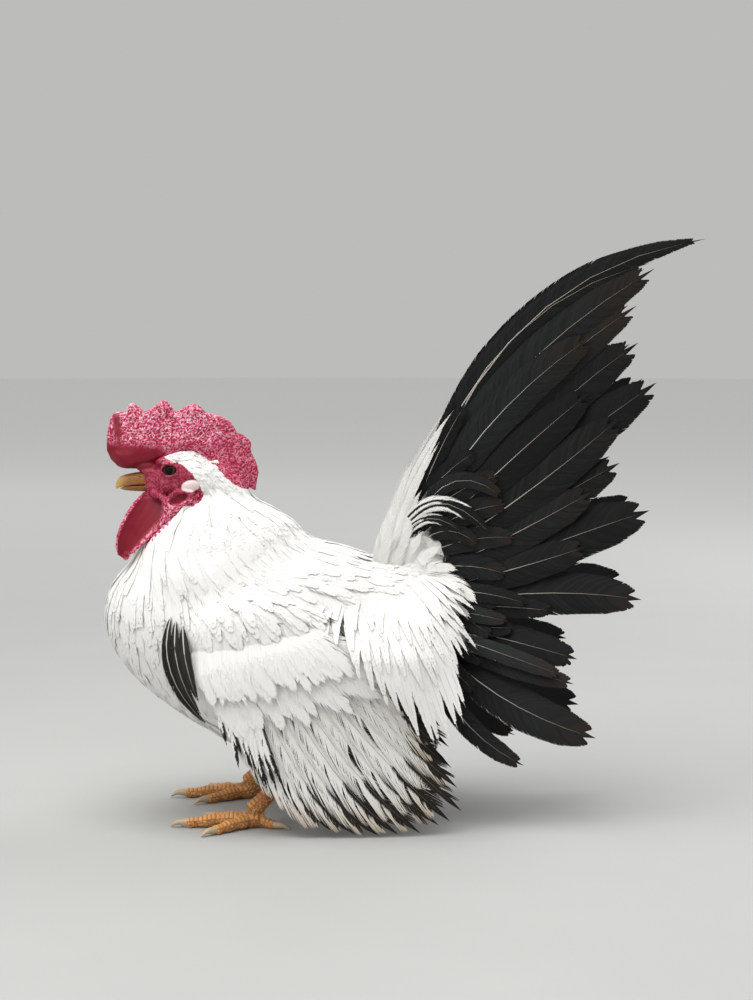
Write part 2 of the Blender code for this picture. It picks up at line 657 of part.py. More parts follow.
def make_saddle_hackles(saddle, torso, home):
    """Long pointed feathers that hang from the rear of the back on both sides."""
    locks = []
    for name, side in SIDES.items():
        lower, upper = spread(SADDLE_KEYS, SADDLE_COUNT), spread(UPPER_SADDLE_KEYS, UPPER_SADDLE_COUNT)
        locks += tier(f"lock_{name}", lower, POINTED_VANE, saddle_plane, side, SADDLE_LIFT,
                      WHITE_PLUMAGE, home)
        locks += tier(f"upper_lock_{name}", upper, POINTED_VANE, saddle_plane, side,
                      UPPER_SADDLE_LIFT, WHITE_PLUMAGE, home)
    join(saddle, locks, home)
    cut(saddle, [grown(torso, home)])


def make_bill(home):
    """Upper and lower mandible, closed on each other with a thin line between them."""
    upper = loft("beak_upper", body_rings(UPPER_BILL, UPPER_BILL_TIPS, BILL_SIDES), BEAK_HORN, home)
    lower = loft("beak_lower", body_rings(LOWER_BILL, LOWER_BILL_TIPS, BILL_SIDES), BEAK_HORN, home)
    cut(lower, [grown(upper, home)])
    return upper, lower


def lid(name, side, home):
    """The bead of skin round an eye."""
    bpy.ops.mesh.primitive_torus_add(
        major_segments=12, minor_segments=5, major_radius=LID_RADIUS, minor_radius=LID_BEAD,
        location=mirrored((EYE_AT[0], EYE_AT[1] + LID_OUT, EYE_AT[2]), side),
        rotation=(math.radians(90), 0, side * math.radians(EYE_YAW)),
    )
    made = bpy.context.object
    made.name = name
    made.data.transform(made.matrix_world)
    made.matrix_world.identity()
    made.data.materials.append(material(RED_SKIN))
    for holder in list(made.users_collection):
        holder.objects.unlink(made)
    home.objects.link(made)
    return made


def head_pieces(home):
    """Skull and lappets, before the features are joined to them or cut into them."""
    skull = loft("head", body_rings(HEAD_STATIONS, HEAD_TIPS, HEAD_SIDES), RED_SKIN, home)
    lappets = [ball("lappet", mirrored(LAPPET_AT, side), LAPPET_SIZE, 8, RED_SKIN, home)
               for side in SIDES.values()]
    return [skull, *lappets]


def make_head(home):
    """Skull and face with lids, lappets and mouth corners; eyes, lobes and bill are set in it.

    The slit nostrils are cut last, in the sides of the upper mandible.
    """
    head, *lappets = head_pieces(home)
    lids = [lid(f"lid_{name}", side, home) for name, side in SIDES.items()]
    join(head, lids + lappets, home)
    for side in SIDES.values():
        hollow = ball("hollow_cutter", mirrored(HOLLOW_AT, side), HOLLOW_SIZE, 8, RED_SKIN, home)
        mouth = ball("mouth_cutter", mirrored(MOUTH_AT, side), MOUTH_SIZE, 8, RED_SKIN, home)
        cut(head, [hollow, mouth])
    upper, lower = make_bill(home)
    cut(head, [grown(upper, home, 1.5 * GAP), grown(lower, home, 1.5 * GAP)])
    cut(upper, [ball("nostril_cutter", mirrored(NOSTRIL_AT, side), NOSTRIL_SIZE, 8, BEAK_HORN, home)
                for side in SIDES.values()])
    for name, side in SIDES.items():
        eye = ball(f"eye_{name}", mirrored(EYE_AT, side), (EYE_RADIUS,) * 3, 10, EYE_GLASS, home)
        lobe = ball(f"earlobe_{name}", mirrored(LOBE_AT, side), LOBE_SIZE, 10, LOBE_SKIN, home)
        cut(head, [grown(eye, home), grown(lobe, home)])
    return head


def make_wattles(home):
    """Two cupped folds of skin under the jaw."""
    for name, side in SIDES.items():
        wattle = loft(f"wattle_{name}", wattle_rings(side), RED_SKIN, home)
        near = bpy.data.objects[f"earlobe_{name}"], bpy.data.objects["beak_lower"]
        cut(wattle, [swollen(piece) for piece in head_pieces(home)])
        cut(wattle, [grown(other, home) for other in near])


def make_comb(home):
    """The single comb: a thick blade with broad blunt points."""
    comb = loft("comb", comb_rings(), RED_SKIN, home)
    cut(comb, [swollen(piece) for piece in head_pieces(home)])
    cut(comb, [swollen(loft("neck_cutter", neck_rings(), RED_SKIN, home))])
    cut(comb, [swollen(lid("lid_cutter", side, home)) for side in SIDES.values()])


def make_neck(torso, home):
    """The neck with two tiers of hackles that spread over the shoulders."""
    neck = loft("neck", neck_rings(), WHITE_PLUMAGE, home)
    tree = surface_tree((neck, torso))
    cut(neck, [grown(torso, home)])
    hackles = []
    for number, (count, half, root, back, beside, lift) in enumerate(CAPE_TIERS):
        prefix = f"hackle_{number}"
        hackles += cape_tier(prefix, tree, count, half, root, back, beside, lift, home)
    join(neck, hackles, home)
    near = [bpy.data.objects[f"{part}_{name}"] for part in ("earlobe", "wattle") for name in SIDES]
    cut(neck, [swollen(piece, 2 * GAP) for piece in head_pieces(home)])
    cut(neck, [grown(other, home) for other in (torso, *near)])


def make_toe(leg, side, ankle, toe, home):
    """One toe with its rounded end, and its claw as a part of its own."""
    name, heading, length, root, tip = toe
    turn = math.radians(heading)
    ahead = Vector((-math.cos(turn), side * math.sin(turn), 0))
    start = Vector((ankle.x, ankle.y, root - SOLE_SINK))
    end = start + ahead * length
    end.z = tip - SOLE_SINK
    knuckle = between(start, end, 0.5) + Vector((0, 0, KNUCKLE_RISE))
    radii = (root, (root + tip) / 2, tip)
    bone = tapered_tube(f"{name}_toe", [start, knuckle, end, end + ahead * TOE_PAD],
                        (*radii, tip * TOE_PAD_SHARE), LEG_SKIN, home)
    point = end + ahead * CLAW_LENGTH
    point.z = CLAW_TIP_RADIUS * 1.2
    arch = between(end, point, 0.45) + Vector((0, 0, CLAW_ARCH))
    line = [end - ahead * CLAW_ROOT_SINK, arch, point]
    widths = (CLAW_RADIUS, CLAW_RADIUS * 0.8, CLAW_TIP_RADIUS)
    claw = tapered_tube(f"claw_{leg}_{name}", line, widths, CLAW_HORN, home, 1)
    return bone, claw


def make_leg(name, side, torso, home):
    """Thigh, shank, foot with four toes, and a claw on each toe."""
    lead = Vector((-RIGHT_FOOT_LEAD if name == "right" else 0, 0, 0))
    top, hock, ankle = (mirrored(at, side) + lead for at in (THIGH_TOP, HOCK_AT, ANKLE_AT))
    shank_line = [between(hock, ankle, share) for share in (-0.12, 0.3, 0.7, 1.0)]
    shank = tapered_tube(f"shank_{name}", shank_line, SHANK_RADII, LEG_SKIN, home)
    thigh_line = [between(top, hock, share) for share in (0, 0.35, 0.75, 1.05)]
    thigh = tapered_tube(f"thigh_{name}", thigh_line, THIGH_RADII, WHITE_PLUMAGE, home, 3)
    cut(thigh, [grown(torso, home), grown(shank, home)])
    pad_at = ankle - Vector((0, 0, FOOT_DROP))
    foot = ball(f"foot_{name}", pad_at, FOOT_SIZE, 12, LEG_SKIN, home)
    toes, claws = [], []
    for toe in TOES:
        bone, claw = make_toe(name, side, ankle, toe, home)
        toes.append(bone)
        claws.append(claw)
    join(foot, toes, home)
    cut(foot, [floor_block(home)])
    cut(shank, [grown(foot, home)])
    for claw in claws:
        cut(claw, [grown(foot, home), floor_block(home)])
    return thigh


def make_wing(name, side, neighbours, home):
    """One dropped wing: a core at the shoulder, flight feathers and three tiers over them."""
    wing = pad(f"wing_{name}", WING_CORE, wing_plane, side, WING_CORE_DEPTH, WHITE_PLUMAGE, home)
    tiers = (
        ("flight", FLIGHT_KEYS, FLIGHT_COUNT, ROUND_VANE, FLIGHT_LIFT),
        ("greater", GREATER_KEYS, GREATER_COUNT, ROUND_VANE, GREATER_LIFT),
        ("median", MEDIAN_KEYS, MEDIAN_COUNT, ROUND_VANE, MEDIAN_LIFT),
        ("alula", ALULA_KEYS, ALULA_COUNT, POINTED_VANE, ALULA_LIFT),
    )
    vanes = []
    for title, keys, count, shape, lift in tiers:
        vanes += tier(f"{title}_{name}", spread(keys, count), shape, wing_plane, side, lift,
                      WHITE_PLUMAGE, home)
    join(wing, vanes, home)
    cut(wing, [grown(other, home) for other in neighbours] + [floor_block(home)])
    return wing


def make_tail(saddle, home):
    """The upright tail: a core, and on each side tail feathers, a sickle and their coverts."""
    tail = pad("tail", TAIL_CORE, lambda x, z: TAIL_CORE_DEPTH / 2, -1, TAIL_CORE_DEPTH,
               BLACK_PLUMAGE, home, rim=0.7)
    tiers = (
        ("sickle", [SICKLE], ROUND_VANE, SICKLE_LIFT),
        ("feather", TAIL_FEATHERS, ROUND_VANE, TAIL_LIFT),
        ("covert", TAIL_COVERTS, ROUND_VANE, COVERT_LIFT),
        ("laced", [LACED_COVERT], POINTED_VANE, LACED_LIFT),
    )
    vanes = []
    for name, side in SIDES.items():
        for title, feathers, shape, lift in tiers:
            varied = [strayed(feather) for feather in feathers]
            vanes += tier(f"{title}_{name}", varied, shape, tail_plane, side, lift,
                          BLACK_PLUMAGE, home)
    join(tail, vanes, home)
    cut(tail, [grown(saddle, home)])


def centre_on_floor(home):
    """Sets the bird down with the middle of its bounding box over the origin, in metres."""
    places = [vertex.co for obj in home.objects for vertex in obj.data.vertices]
    low = Vector(min(place[axis] for place in places) for axis in range(3))
    high = Vector(max(place[axis] for place in places) for axis in range(3))
    shift = Vector((-(low.x + high.x) / 2, -(low.y + high.y) / 2, -low.z))
    for obj in home.objects:
        for vertex in obj.data.vertices:
            vertex.co = (vertex.co + shift) * MM


def main():
    random.seed(3)
    for obj in list(bpy.data.objects):
        bpy.data.objects.remove(obj)
    bird = bpy.data.collections.new("japanese_bantam_cock")
    bpy.context.scene.collection.children.link(bird)
    torso, saddle = make_trunk(bird)
    make_head(bird)
    make_wattles(bird)
    make_neck(torso, bird)
    make_comb(bird)
    for name, side in SIDES.items():
        thigh = make_leg(name, side, torso, bird)
        make_wing(name, side, (torso, saddle, thigh), bird)
    make_saddle_hackles(saddle, torso, bird)
    make_tail(saddle, bird)
    centre_on_floor(bird)


main()
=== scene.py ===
# %% [markdown]
# A Japanese bantam cock, dressed over its CAD frame.
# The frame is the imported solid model. This lesson gives it living skin, horn, eyes and some
# thousands of feathers, all of them meshes, so that the same bird can be exported.
# The order is: camera and light, finishes, skin, eyes and horn, then the coat from head to tail.

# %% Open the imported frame
import math

import bmesh
import bpy
import numpy as np
from mathutils import Matrix, Vector, noise
from mathutils.bvhtree import BVHTree


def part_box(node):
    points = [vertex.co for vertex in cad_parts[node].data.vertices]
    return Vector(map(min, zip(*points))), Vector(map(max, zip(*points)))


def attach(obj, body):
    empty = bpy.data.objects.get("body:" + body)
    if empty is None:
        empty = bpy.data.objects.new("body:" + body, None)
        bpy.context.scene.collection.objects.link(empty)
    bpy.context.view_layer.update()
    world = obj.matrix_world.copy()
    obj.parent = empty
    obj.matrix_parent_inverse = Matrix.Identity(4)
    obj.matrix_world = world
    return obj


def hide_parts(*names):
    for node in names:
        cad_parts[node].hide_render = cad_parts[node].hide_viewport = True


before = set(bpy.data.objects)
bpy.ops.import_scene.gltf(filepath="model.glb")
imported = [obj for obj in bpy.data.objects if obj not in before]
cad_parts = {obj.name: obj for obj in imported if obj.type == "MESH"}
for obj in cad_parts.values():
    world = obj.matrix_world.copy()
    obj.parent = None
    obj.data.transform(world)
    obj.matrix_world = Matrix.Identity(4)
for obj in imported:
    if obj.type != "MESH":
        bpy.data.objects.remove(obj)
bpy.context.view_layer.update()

print("nodes in the frame:", len(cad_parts))

# %% [markdown]
# A bird this size is easiest to shape in millimetres, with the beak toward -X, the left side at
# -Y and the floor at Z = 0. The frame is in metres and a hair further along X, because it was
# centred on its own box. The tip of the CAD beak says how far.

# %% Millimetres to the frame
MM = 0.001
BEAK_TIP_X = -165.0
SIDES = {"left": -1.0, "right": 1.0}
shift = np.array((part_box("beak_upper")[0].x / MM - BEAK_TIP_X, 0.0, 0.0))
draws = np.random.default_rng(11)


def to_frame(places):
    """Places in the bird's millimetres as metres of the frame."""
    return (np.asarray(places, float) + shift) * MM


def linked(name, data):
    """An object in the scene that shows some data."""
    made = bpy.data.objects.new(name, data)
    bpy.context.scene.collection.objects.link(made)
    return made


print("shift along X in mm:", round(float(shift[0]), 3))

# %% [markdown]
# The photograph looks at the left side from about bench height. One pixel is 0.58 mm at the
# bird's middle plane. A camera 1.2 m away gives the same gentle perspective, and the lens then
# follows from the pixel size, on a sensor 36 mm along the picture's longer side.

# %% Camera
PICTURE = (753, 1000)
PIXEL_MM = 0.58
CAMERA_REACH = 1.2
CAMERA_RISE = math.radians(5)
SENSOR = 36.0
aim = Vector(to_frame((-13.6, 0, 184)))
camera_data = bpy.data.cameras.new("bench_camera")
camera_data.sensor_width = SENSOR
camera_data.lens = SENSOR * CAMERA_REACH / (PIXEL_MM * MM) / PICTURE[1]
camera_data.clip_start = 0.05
camera = linked("bench_camera", camera_data)
camera.location = aim + Vector((0, -math.cos(CAMERA_RISE), math.sin(CAMERA_RISE))) * CAMERA_REACH
camera.rotation_euler = (math.pi / 2 - CAMERA_RISE, 0, 0)
bpy.context.scene.camera = camera
print("lens in mm:", round(camera_data.lens, 2))

# %% [markdown]
# The bird stood in soft daylight that came mostly from above. Three large soft lamps and a pale
# surround do the same. White plumage has to read as white without losing its edges, so the
# floor and the surround are a shade darker than the feathers.

# %% Light
SURROUND, SURROUND_STRENGTH = (0.56, 0.56, 0.55), 0.9


def soft_lamp(name, place, size, power):
    """A large square lamp that points at the bird."""
    data = bpy.data.lights.new(name, "AREA")
    data.size = size
    data.energy = power
    lamp = linked(name, data)
    lamp.location = place
    lamp.rotation_euler = (aim - Vector(place)).to_track_quat("-Z", "Y").to_euler()


soft_lamp("sky_lamp", (-0.25, -0.35, 1.5), 1.3, 23)
soft_lamp("front_lamp", (-1.1, -1.0, 0.9), 0.9, 5)
soft_lamp("rear_lamp", (0.9, 0.9, 1.1), 1.0, 9)
surround = bpy.data.worlds.new("surround")
surround.use_nodes = True
sky = surround.node_tree.nodes["Background"]
sky.inputs["Color"].default_value = (*SURROUND, 1)
sky.inputs["Strength"].default_value = SURROUND_STRENGTH
bpy.context.scene.world = surround
bpy.context.scene.view_settings.view_transform = "Standard"

# %% [markdown]
# Every finish is a small node tree that ends in one Principled shader. Constant values sit on
# the shader's own sockets. Only colour, roughness, height and the like come from nodes.

# %% A helper for finishes
class Finish:
    """A node material, built with short calls."""

    def __init__(self, name, **constants):
        self.material = bpy.data.materials.new(name)
        self.material.use_nodes = True
        self.tree = self.material.node_tree
        self.shader = self.tree.nodes["Principled BSDF"]
        for socket, value in constants.items():
            self.shader.inputs[socket.replace("_", " ")].default_value = value

    def put(self, socket, value):
        """Gives a socket a value or a link."""
        if isinstance(value, bpy.types.NodeSocket):
            self.tree.links.new(value, socket)
        elif isinstance(value, tuple) and len(value) == 3 and socket.type == "RGBA":
            socket.default_value = (*value, 1)
        else:
            socket.default_value = value

    def node(self, kind, inputs, **settings):
        """A node with its settings and inputs."""
        made = self.tree.nodes.new(kind)
        for key, value in settings.items():
            setattr(made, key, value)
        for key, value in inputs.items():
            self.put(made.inputs[key], value)
        return made

    def place(self):
        """Where a point lies on the object, in metres."""
        return self.node("ShaderNodeTexCoord", {}).outputs["Object"]

    def mix(self, factor, first, second):
        """A colour between two others."""
        return self.node("ShaderNodeMix", {0: factor, 6: first, 7: second}, data_type="RGBA").outputs[2]

    def sums(self, operation, first, second):
        """One step of arithmetic."""
        return self.node("ShaderNodeMath", {0: first, 1: second}, operation=operation).outputs[0]

    def spread(self, value, low, high, to_low=0.0, to_high=1.0):
        """A value stretched from one range to another, softly at both ends."""
        made = self.node("ShaderNodeMapRange", {0: value, 1: low, 2: high, 3: to_low, 4: to_high},
                         interpolation_type="SMOOTHSTEP")
        return made.outputs[0]

    def clouds(self, scale, detail=3.0):
        """Noise in the object's own space."""
        inputs = {"Vector": self.place(), "Scale": scale, "Detail": detail, "Roughness": 0.6}
        return self.node("ShaderNodeTexNoise", inputs).outputs["Fac"]

    def grains(self, scale):
        """Distance to the nearest of many scattered points."""
        made = self.node("ShaderNodeTexVoronoi", {"Vector": self.place(), "Scale": scale})
        return made.outputs["Distance"]

    def painted(self, name):
        """Red, green, blue and alpha of a painted attribute."""
        paint = self.node("ShaderNodeAttribute", {}, attribute_name=name)
        parts = self.node("ShaderNodeSeparateColor", {0: paint.outputs["Color"]})
        return [*parts.outputs, paint.outputs["Alpha"]]

    def relief(self, height, distance, strength=1.0):
        """Bump from a height, in metres."""
        bump = self.node("ShaderNodeBump", {"Height": height, "Distance": distance, "Strength": strength})
        self.put(self.shader.inputs["Normal"], bump.outputs[0])

    def colour(self, value):
        """Sets the base colour."""
        self.put(self.shader.inputs["Base Color"], value)

    def roughness(self, value):
        """Sets the roughness."""
        self.put(self.shader.inputs["Roughness"], value)


print("finish helper is ready")

# %% [markdown]
# The floor is a plain pale board. It is painted lighter away from the bird, as painted light that
# makes up for the lamps' falloff so that the far floor meets the surround, and it is darker near
# the bird so that the white plumage stands out from it. It isn't part of the bird.

# %% Floor
FLOOR_RADIUS = 9
floor_mesh = bpy.data.meshes.new("floor")
floor_bm = bmesh.new()
bmesh.ops.create_circle(floor_bm, cap_ends=True, segments=96, radius=FLOOR_RADIUS)
floor_bm.to_mesh(floor_mesh)
floor_bm.free()
floor = linked("floor", floor_mesh)
board = Finish("pale_board", Roughness=0.8)
board_reach = board.node("ShaderNodeVectorMath", {0: board.place()}, operation="LENGTH").outputs["Value"]
near_tone = board.mix(board.clouds(6.0), (0.42, 0.42, 0.41), (0.46, 0.46, 0.45))
# Painted light: the board gets lighter with distance to make up for the lamps' falloff.
board.colour(board.mix(board.spread(board_reach, 0.5, 2.6), near_tone, (0.93, 0.93, 0.92)))
floor_mesh.materials.append(board.material)
print("floor radius in m:", FLOOR_RADIUS)

# %% [markdown]
# Bare skin. The comb, wattles and face of a cock are covered in fine papillae, pale on their
# tops and crimson in between. The pale tops are partly their own tone and partly painted
# highlight. The hollows of comb and wattle, the creases and the roll under the comb are smooth,
# and painted dark as shade. The same grain could be only bump, but the edges of the comb show it
# too, so it is shaped into the mesh, and a painted attribute called marks tells the finish where
# the tops are.
# Marks hold: red = how high on a papilla, raised along the comb's top as painted light, green =
# smooth skin painted dark as shade, blue = earlobe.

# %% Skin finishes
red_skin = Finish("red_skin", Roughness=0.55, Subsurface_Weight=0.12, Subsurface_Scale=0.003,
                  Specular_IOR_Level=0.3)
red_skin.shader.inputs["Subsurface Radius"].default_value = (1.0, 0.25, 0.2)
grain, smooth_and_shaded, lobe_part, _ = red_skin.painted("marks")
blotch = red_skin.clouds(160.0, 3.0)
deep = red_skin.mix(blotch, (0.30, 0.004, 0.036), (0.44, 0.014, 0.070))
speck = red_skin.grains(900.0)
# Papilla tops in near-white pink: partly their own pale tone, partly painted highlight.
top = red_skin.mix(red_skin.spread(speck, 0.2, 0.7), (0.97, 0.64, 0.75), (0.80, 0.22, 0.34))
lit = red_skin.mix(grain, deep, top)
# Smooth parts in a darker crimson: painted shade under the comb, in the wattle cups, hollows and creases.
still = red_skin.mix(blotch, (0.15, 0.002, 0.010), (0.26, 0.005, 0.022))
flesh = red_skin.mix(smooth_and_shaded, lit, still)
pale = red_skin.mix(blotch, (0.78, 0.66, 0.65), (0.72, 0.56, 0.55))
red_skin.colour(red_skin.mix(lobe_part, flesh, pale))
red_skin.roughness(red_skin.spread(blotch, 0.3, 0.8, 0.42, 0.6))
rough_part = red_skin.sums("SUBTRACT", 1.0, smooth_and_shaded)
red_skin.relief(red_skin.sums("MULTIPLY", speck, rough_part), 0.0003, 0.6)
print("bare skin finish:", red_skin.material.name)

# %% [markdown]
# The legs are yellow horn-like skin, ruddy toward the hock, and darker in the grooves between
# the scales.
# The skin under the coat hardly shows, so it only has to go with the feathers over it: white in
# front, black under the tail. Here marks hold: red = groove, blue = blush, green = under the tail.

# %% Leg and hidden skin
leg_skin = Finish("leg_skin", Specular_IOR_Level=0.4)
groove, _, blush, _ = leg_skin.painted("marks")
yolk = leg_skin.mix(leg_skin.clouds(220.0), (0.74, 0.30, 0.075), (0.90, 0.47, 0.16))
ruddy = leg_skin.mix(blush, yolk, (0.42, 0.085, 0.03))
leg_skin.colour(leg_skin.mix(groove, ruddy, (0.16, 0.05, 0.02)))
leg_skin.roughness(leg_skin.spread(leg_skin.clouds(400.0), 0.3, 0.7, 0.42, 0.62))
leg_skin.relief(leg_skin.grains(1500.0), 0.0002, 0.4)

hidden_skin = Finish("plumed_skin", Roughness=0.8)
_, dark_part, _, _ = hidden_skin.painted("marks")
under = hidden_skin.mix(hidden_skin.clouds(300.0), (0.90, 0.88, 0.84), (0.80, 0.78, 0.73))
hidden_skin.colour(hidden_skin.mix(dark_part, under, (0.012, 0.011, 0.010)))
hidden_skin.relief(hidden_skin.grains(500.0), 0.0004, 0.5)
print("skin finishes:", [f.material.name for f in (red_skin, leg_skin, hidden_skin)])

# %% [markdown]
# A bird's body has no straight lines. A form is therefore given by a few measured rows, and gets
# more rows along a smooth curve that passes through every one of them.

# %% Smooth rows
def more_rows(rows, count):
    """Rows on a smooth curve through the given ones."""
    rows = np.array(rows, float)
    places = np.linspace(0, len(rows) - 1, count)
    ends = np.vstack((2 * rows[0] - rows[1], rows, 2 * rows[-1] - rows[-2]))
    first = np.minimum(places.astype(int), len(rows) - 2)
    t = (places - first)[:, None]
    a, b, c, d = (ends[first + step] for step in range(4))
    return 0.5 * (2 * b + (c - a) * t + (2 * a - 5 * b + 4 * c - d) * t**2 + (3 * b - a - 3 * c + d) * t**3)


def unit(vectors):
    """Vectors made one long."""
    vectors = np.asarray(vectors, float)
    return vectors / np.maximum(np.linalg.norm(vectors, axis=-1, keepdims=True), 1e-9)


print("three rows through 0, 1 and 4:", more_rows(((0,), (1,), (4,)), 3).ravel())

# %% [markdown]
# Clay. Flesh starts as closed forms that overlap: rings, lumps and tubes. They could be
# sculpted by hand, but forms given by rows and radii repeat the measures of the CAD model.

# %% Clay forms
def lofted(rings, start, end):
    """Clay over equal rings, closed by a point at both ends."""
    sides = len(rings[0])
    places = np.vstack((start, *rings, end))
    faces = [(0, 1 + (i + 1) % sides, 1 + i) for i in range(sides)]
    for row in range(len(rings) - 1):
        low, high = 1 + row * sides, 1 + (row + 1) * sides
        for i in range(sides):
            j = (i + 1) % sides
            faces.append((low + i, low + j, high + j, high + i))
    last = 1 + (len(rings) - 1) * sides
    faces += [(last + i, last + (i + 1) % sides, len(places) - 1) for i in range(sides)]
    return places, faces


def body_clay(stations, tips, count=24, sides=32, inset=0.0):
    """Clay across X from rows of x, top, bottom and half width."""
    turns = np.linspace(0, 2 * np.pi, sides, endpoint=False)
    rings = []
    for x, high, low, half in more_rows(stations, count):
        tall = (high - low) / 2 - inset
        middle = (high + low) / 2
        rings.append(np.column_stack((np.full(sides, x), (half - inset) * np.cos(turns),
                                      middle + tall * np.sin(turns))))
    (x0, z0), (x1, z1) = tips
    return lofted(rings, (x0 + inset, 0, z0), (x1 - inset, 0, z1))


def lump(at, size, turn=(0, 0, 0)):
    """An ellipsoid, turned by angles in degrees."""
    bm = bmesh.new()
    bmesh.ops.create_icosphere(bm, subdivisions=4, radius=1)
    spin = Matrix.Rotation(math.radians(turn[2]), 3, "Z") @ Matrix.Rotation(math.radians(turn[1]), 3, "Y")
    spin = spin @ Matrix.Rotation(math.radians(turn[0]), 3, "X")
    places = np.array([spin @ Vector(v.co * Vector(size)) for v in bm.verts]) + at
    faces = [[v.index for v in face.verts] for face in bm.faces]
    bm.free()
    return places, faces


def frames_along(points, up):
    """Directions ahead, across and upward at each point of a path."""
    ahead = unit(np.gradient(points, axis=0))
    across = unit(np.cross(ahead, up))
    return ahead, across, np.cross(across, ahead)


def tube(points, radii, sides=20, up=(0, 0, 1), count=24, flat=1.0):
    """Clay round a smooth path, with a radius at each given point and rounded ends."""
    rows = more_rows([(*point, radius) for point, radius in zip(points, radii)], count)
    path, thick = rows[:, :3], rows[:, 3]
    ahead, across, upward = frames_along(path, np.array(up, float))
    turns = np.linspace(0, 2 * np.pi, sides, endpoint=False)
    rings = []
    for k in range(count):
        circle = np.outer(np.cos(turns), across[k]) + flat * np.outer(np.sin(turns), upward[k])
        rings.append(path[k] + circle * thick[k])
    start = path[0] - ahead[0] * thick[0] * 0.6
    return lofted(rings, start, path[-1] + ahead[-1] * thick[-1] * 0.6)


def hoop(points, radius, sides=10):
    """Clay round a closed path."""
    points = np.asarray(points, float)
    ahead = unit(np.roll(points, -1, axis=0) - np.roll(points, 1, axis=0))
    out = unit(points - points.mean(axis=0))
    side = unit(np.cross(ahead, out))
    turns = np.linspace(0, 2 * np.pi, sides, endpoint=False)
    radius = np.broadcast_to(radius, len(points))
    rings = [p + (np.outer(np.cos(turns), o) + np.outer(np.sin(turns), s)) * r
             for p, o, s, r in zip(points, out, side, radius)]
    count = len(rings)
    faces = []
    for k in range(count):
        low, high = k * sides, (k + 1) % count * sides
        faces += [(low + i, low + (i + 1) % sides, high + (i + 1) % sides, high + i) for i in range(sides)]
    return np.vstack(rings), faces


print("a lump has vertices:", len(lump((0, 0, 0), (1, 1, 1))[0]))

# %% [markdown]
# Clay becomes a mesh here. Blender's own vertex calls are slow for large meshes, so places and
# normals are read and written as whole arrays. A finished piece then gets its material, rides
# on the frame's one body and stands for the CAD nodes that it replaces.

# %% From clay to mesh
def thrown(name, clay):
    """One object from pieces of clay, still in millimetres."""
    mesh = bpy.data.meshes.new(name)
    places, faces, first = [], [], 0
    for piece_places, piece_faces in clay:
        places.extend(map(tuple, piece_places))
        faces.extend(tuple(first + index for index in face) for face in piece_faces)
        first += len(piece_places)
    mesh.from_pydata(places, [], faces)
    return linked(name, mesh)


def baked(obj):
    """Freezes an object's modifiers into its mesh."""
    bpy.context.view_layer.update()
    graph = bpy.context.evaluated_depsgraph_get()
    mesh = bpy.data.meshes.new_from_object(obj.evaluated_get(graph))
    old = obj.data
    obj.modifiers.clear()
    obj.data = mesh
    bpy.data.meshes.remove(old)
    return obj


def numbers(items, key, width=1, kind=np.float32):
    """One property of many mesh items as an array."""
    flat = np.empty(len(items) * width, kind)
    items.foreach_get(key, flat)
    return flat.reshape(-1, width) if width > 1 else flat


def places_of(obj):
    """The vertices of an object as an array."""
    return numbers(obj.data.vertices, "co", 3).astype(float)


def normals_of(obj):
    """The vertex normals of an object as an array."""
    return numbers(obj.data.vertex_normals, "vector", 3).astype(float)


def place_all(obj, places):
    """Puts the vertices of an object in new places."""
    obj.data.vertices.foreach_set("co", np.asarray(places, np.float32).ravel())
    obj.data.update()


def dressed(piece, material, slot, *nodes):
    """Gives a smooth piece its finish, and lets it ride in place of the nodes."""
    piece.data.materials.clear()
    piece.data.materials.append(material)
    piece.data.shade_smooth()
    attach(piece, "root")
    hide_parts(*nodes)


print("mesh helpers are ready")

# %% [markdown]
# Living flesh has no seams. A voxel remesh fuses the overlapping clay into one closed skin with
# an even grain, so no edge shows between comb and skull or between toe and foot. It leaves
# small steps, which relaxing smooths away. A boolean joins or cuts skins whose grain differs.

# %% Moulding
def relaxed(obj, rounds, share=0.6):
    """Evens out a surface: each vertex moves toward the mean of its neighbours."""
    one, two = numbers(obj.data.edges, "vertices", 2, np.int32).T
    places = places_of(obj)
    count = len(places)
    links = np.bincount(one, minlength=count) + np.bincount(two, minlength=count)
    for _ in range(rounds):
        mean = np.empty_like(places)
        for axis in range(3):
            total = np.bincount(one, places[two, axis], count) + np.bincount(two, places[one, axis], count)
            mean[:, axis] = total / links
        places += (mean - places) * share
    place_all(obj, places)
    return obj


def moulded(name, clay, grain_size, rounds):
    """Fuses clay into one closed skin with an even grain, in millimetres."""
    obj = thrown(name, clay)
    step = obj.modifiers.new("mould", "REMESH")
    step.mode = "VOXEL"
    step.voxel_size = grain_size
    return relaxed(baked(obj), rounds)


def merged(obj, other, operation="UNION"):
    """One closed mesh from two, or one cut by the other, which is then removed."""
    step = obj.modifiers.new("merge", "BOOLEAN")
    step.operation = operation
    step.solver = "MANIFOLD"
    step.object = other
    baked(obj)
    bpy.data.objects.remove(other)
    return obj


print("moulding helpers are ready")

# %% [markdown]
# The body under the feathers. Its rows repeat the CAD trunk and neck, and lie inside them by
# the depth of the coat. The arms of the wings and the root of the tail belong to the same
# flesh. The feathers are later laid along this surface, which is why it is smoothed a lot.

# %% Measures of the body
COAT_DEPTH = 5.0
TRUNK_TIPS = ((-173, 118), (24, 122))
TRUNK_ROWS = (
    (-170, 131, 105, 14), (-163, 145, 90, 27), (-150, 157, 74, 38), (-132, 164, 60, 48),
    (-110, 168, 46, 54), (-85, 169, 36, 56), (-60, 167, 32, 55), (-38, 163, 36, 51),
    (-20, 156, 46, 45), (-4, 152, 60, 40), (10, 147, 78, 32), (19, 138, 98, 19),
)
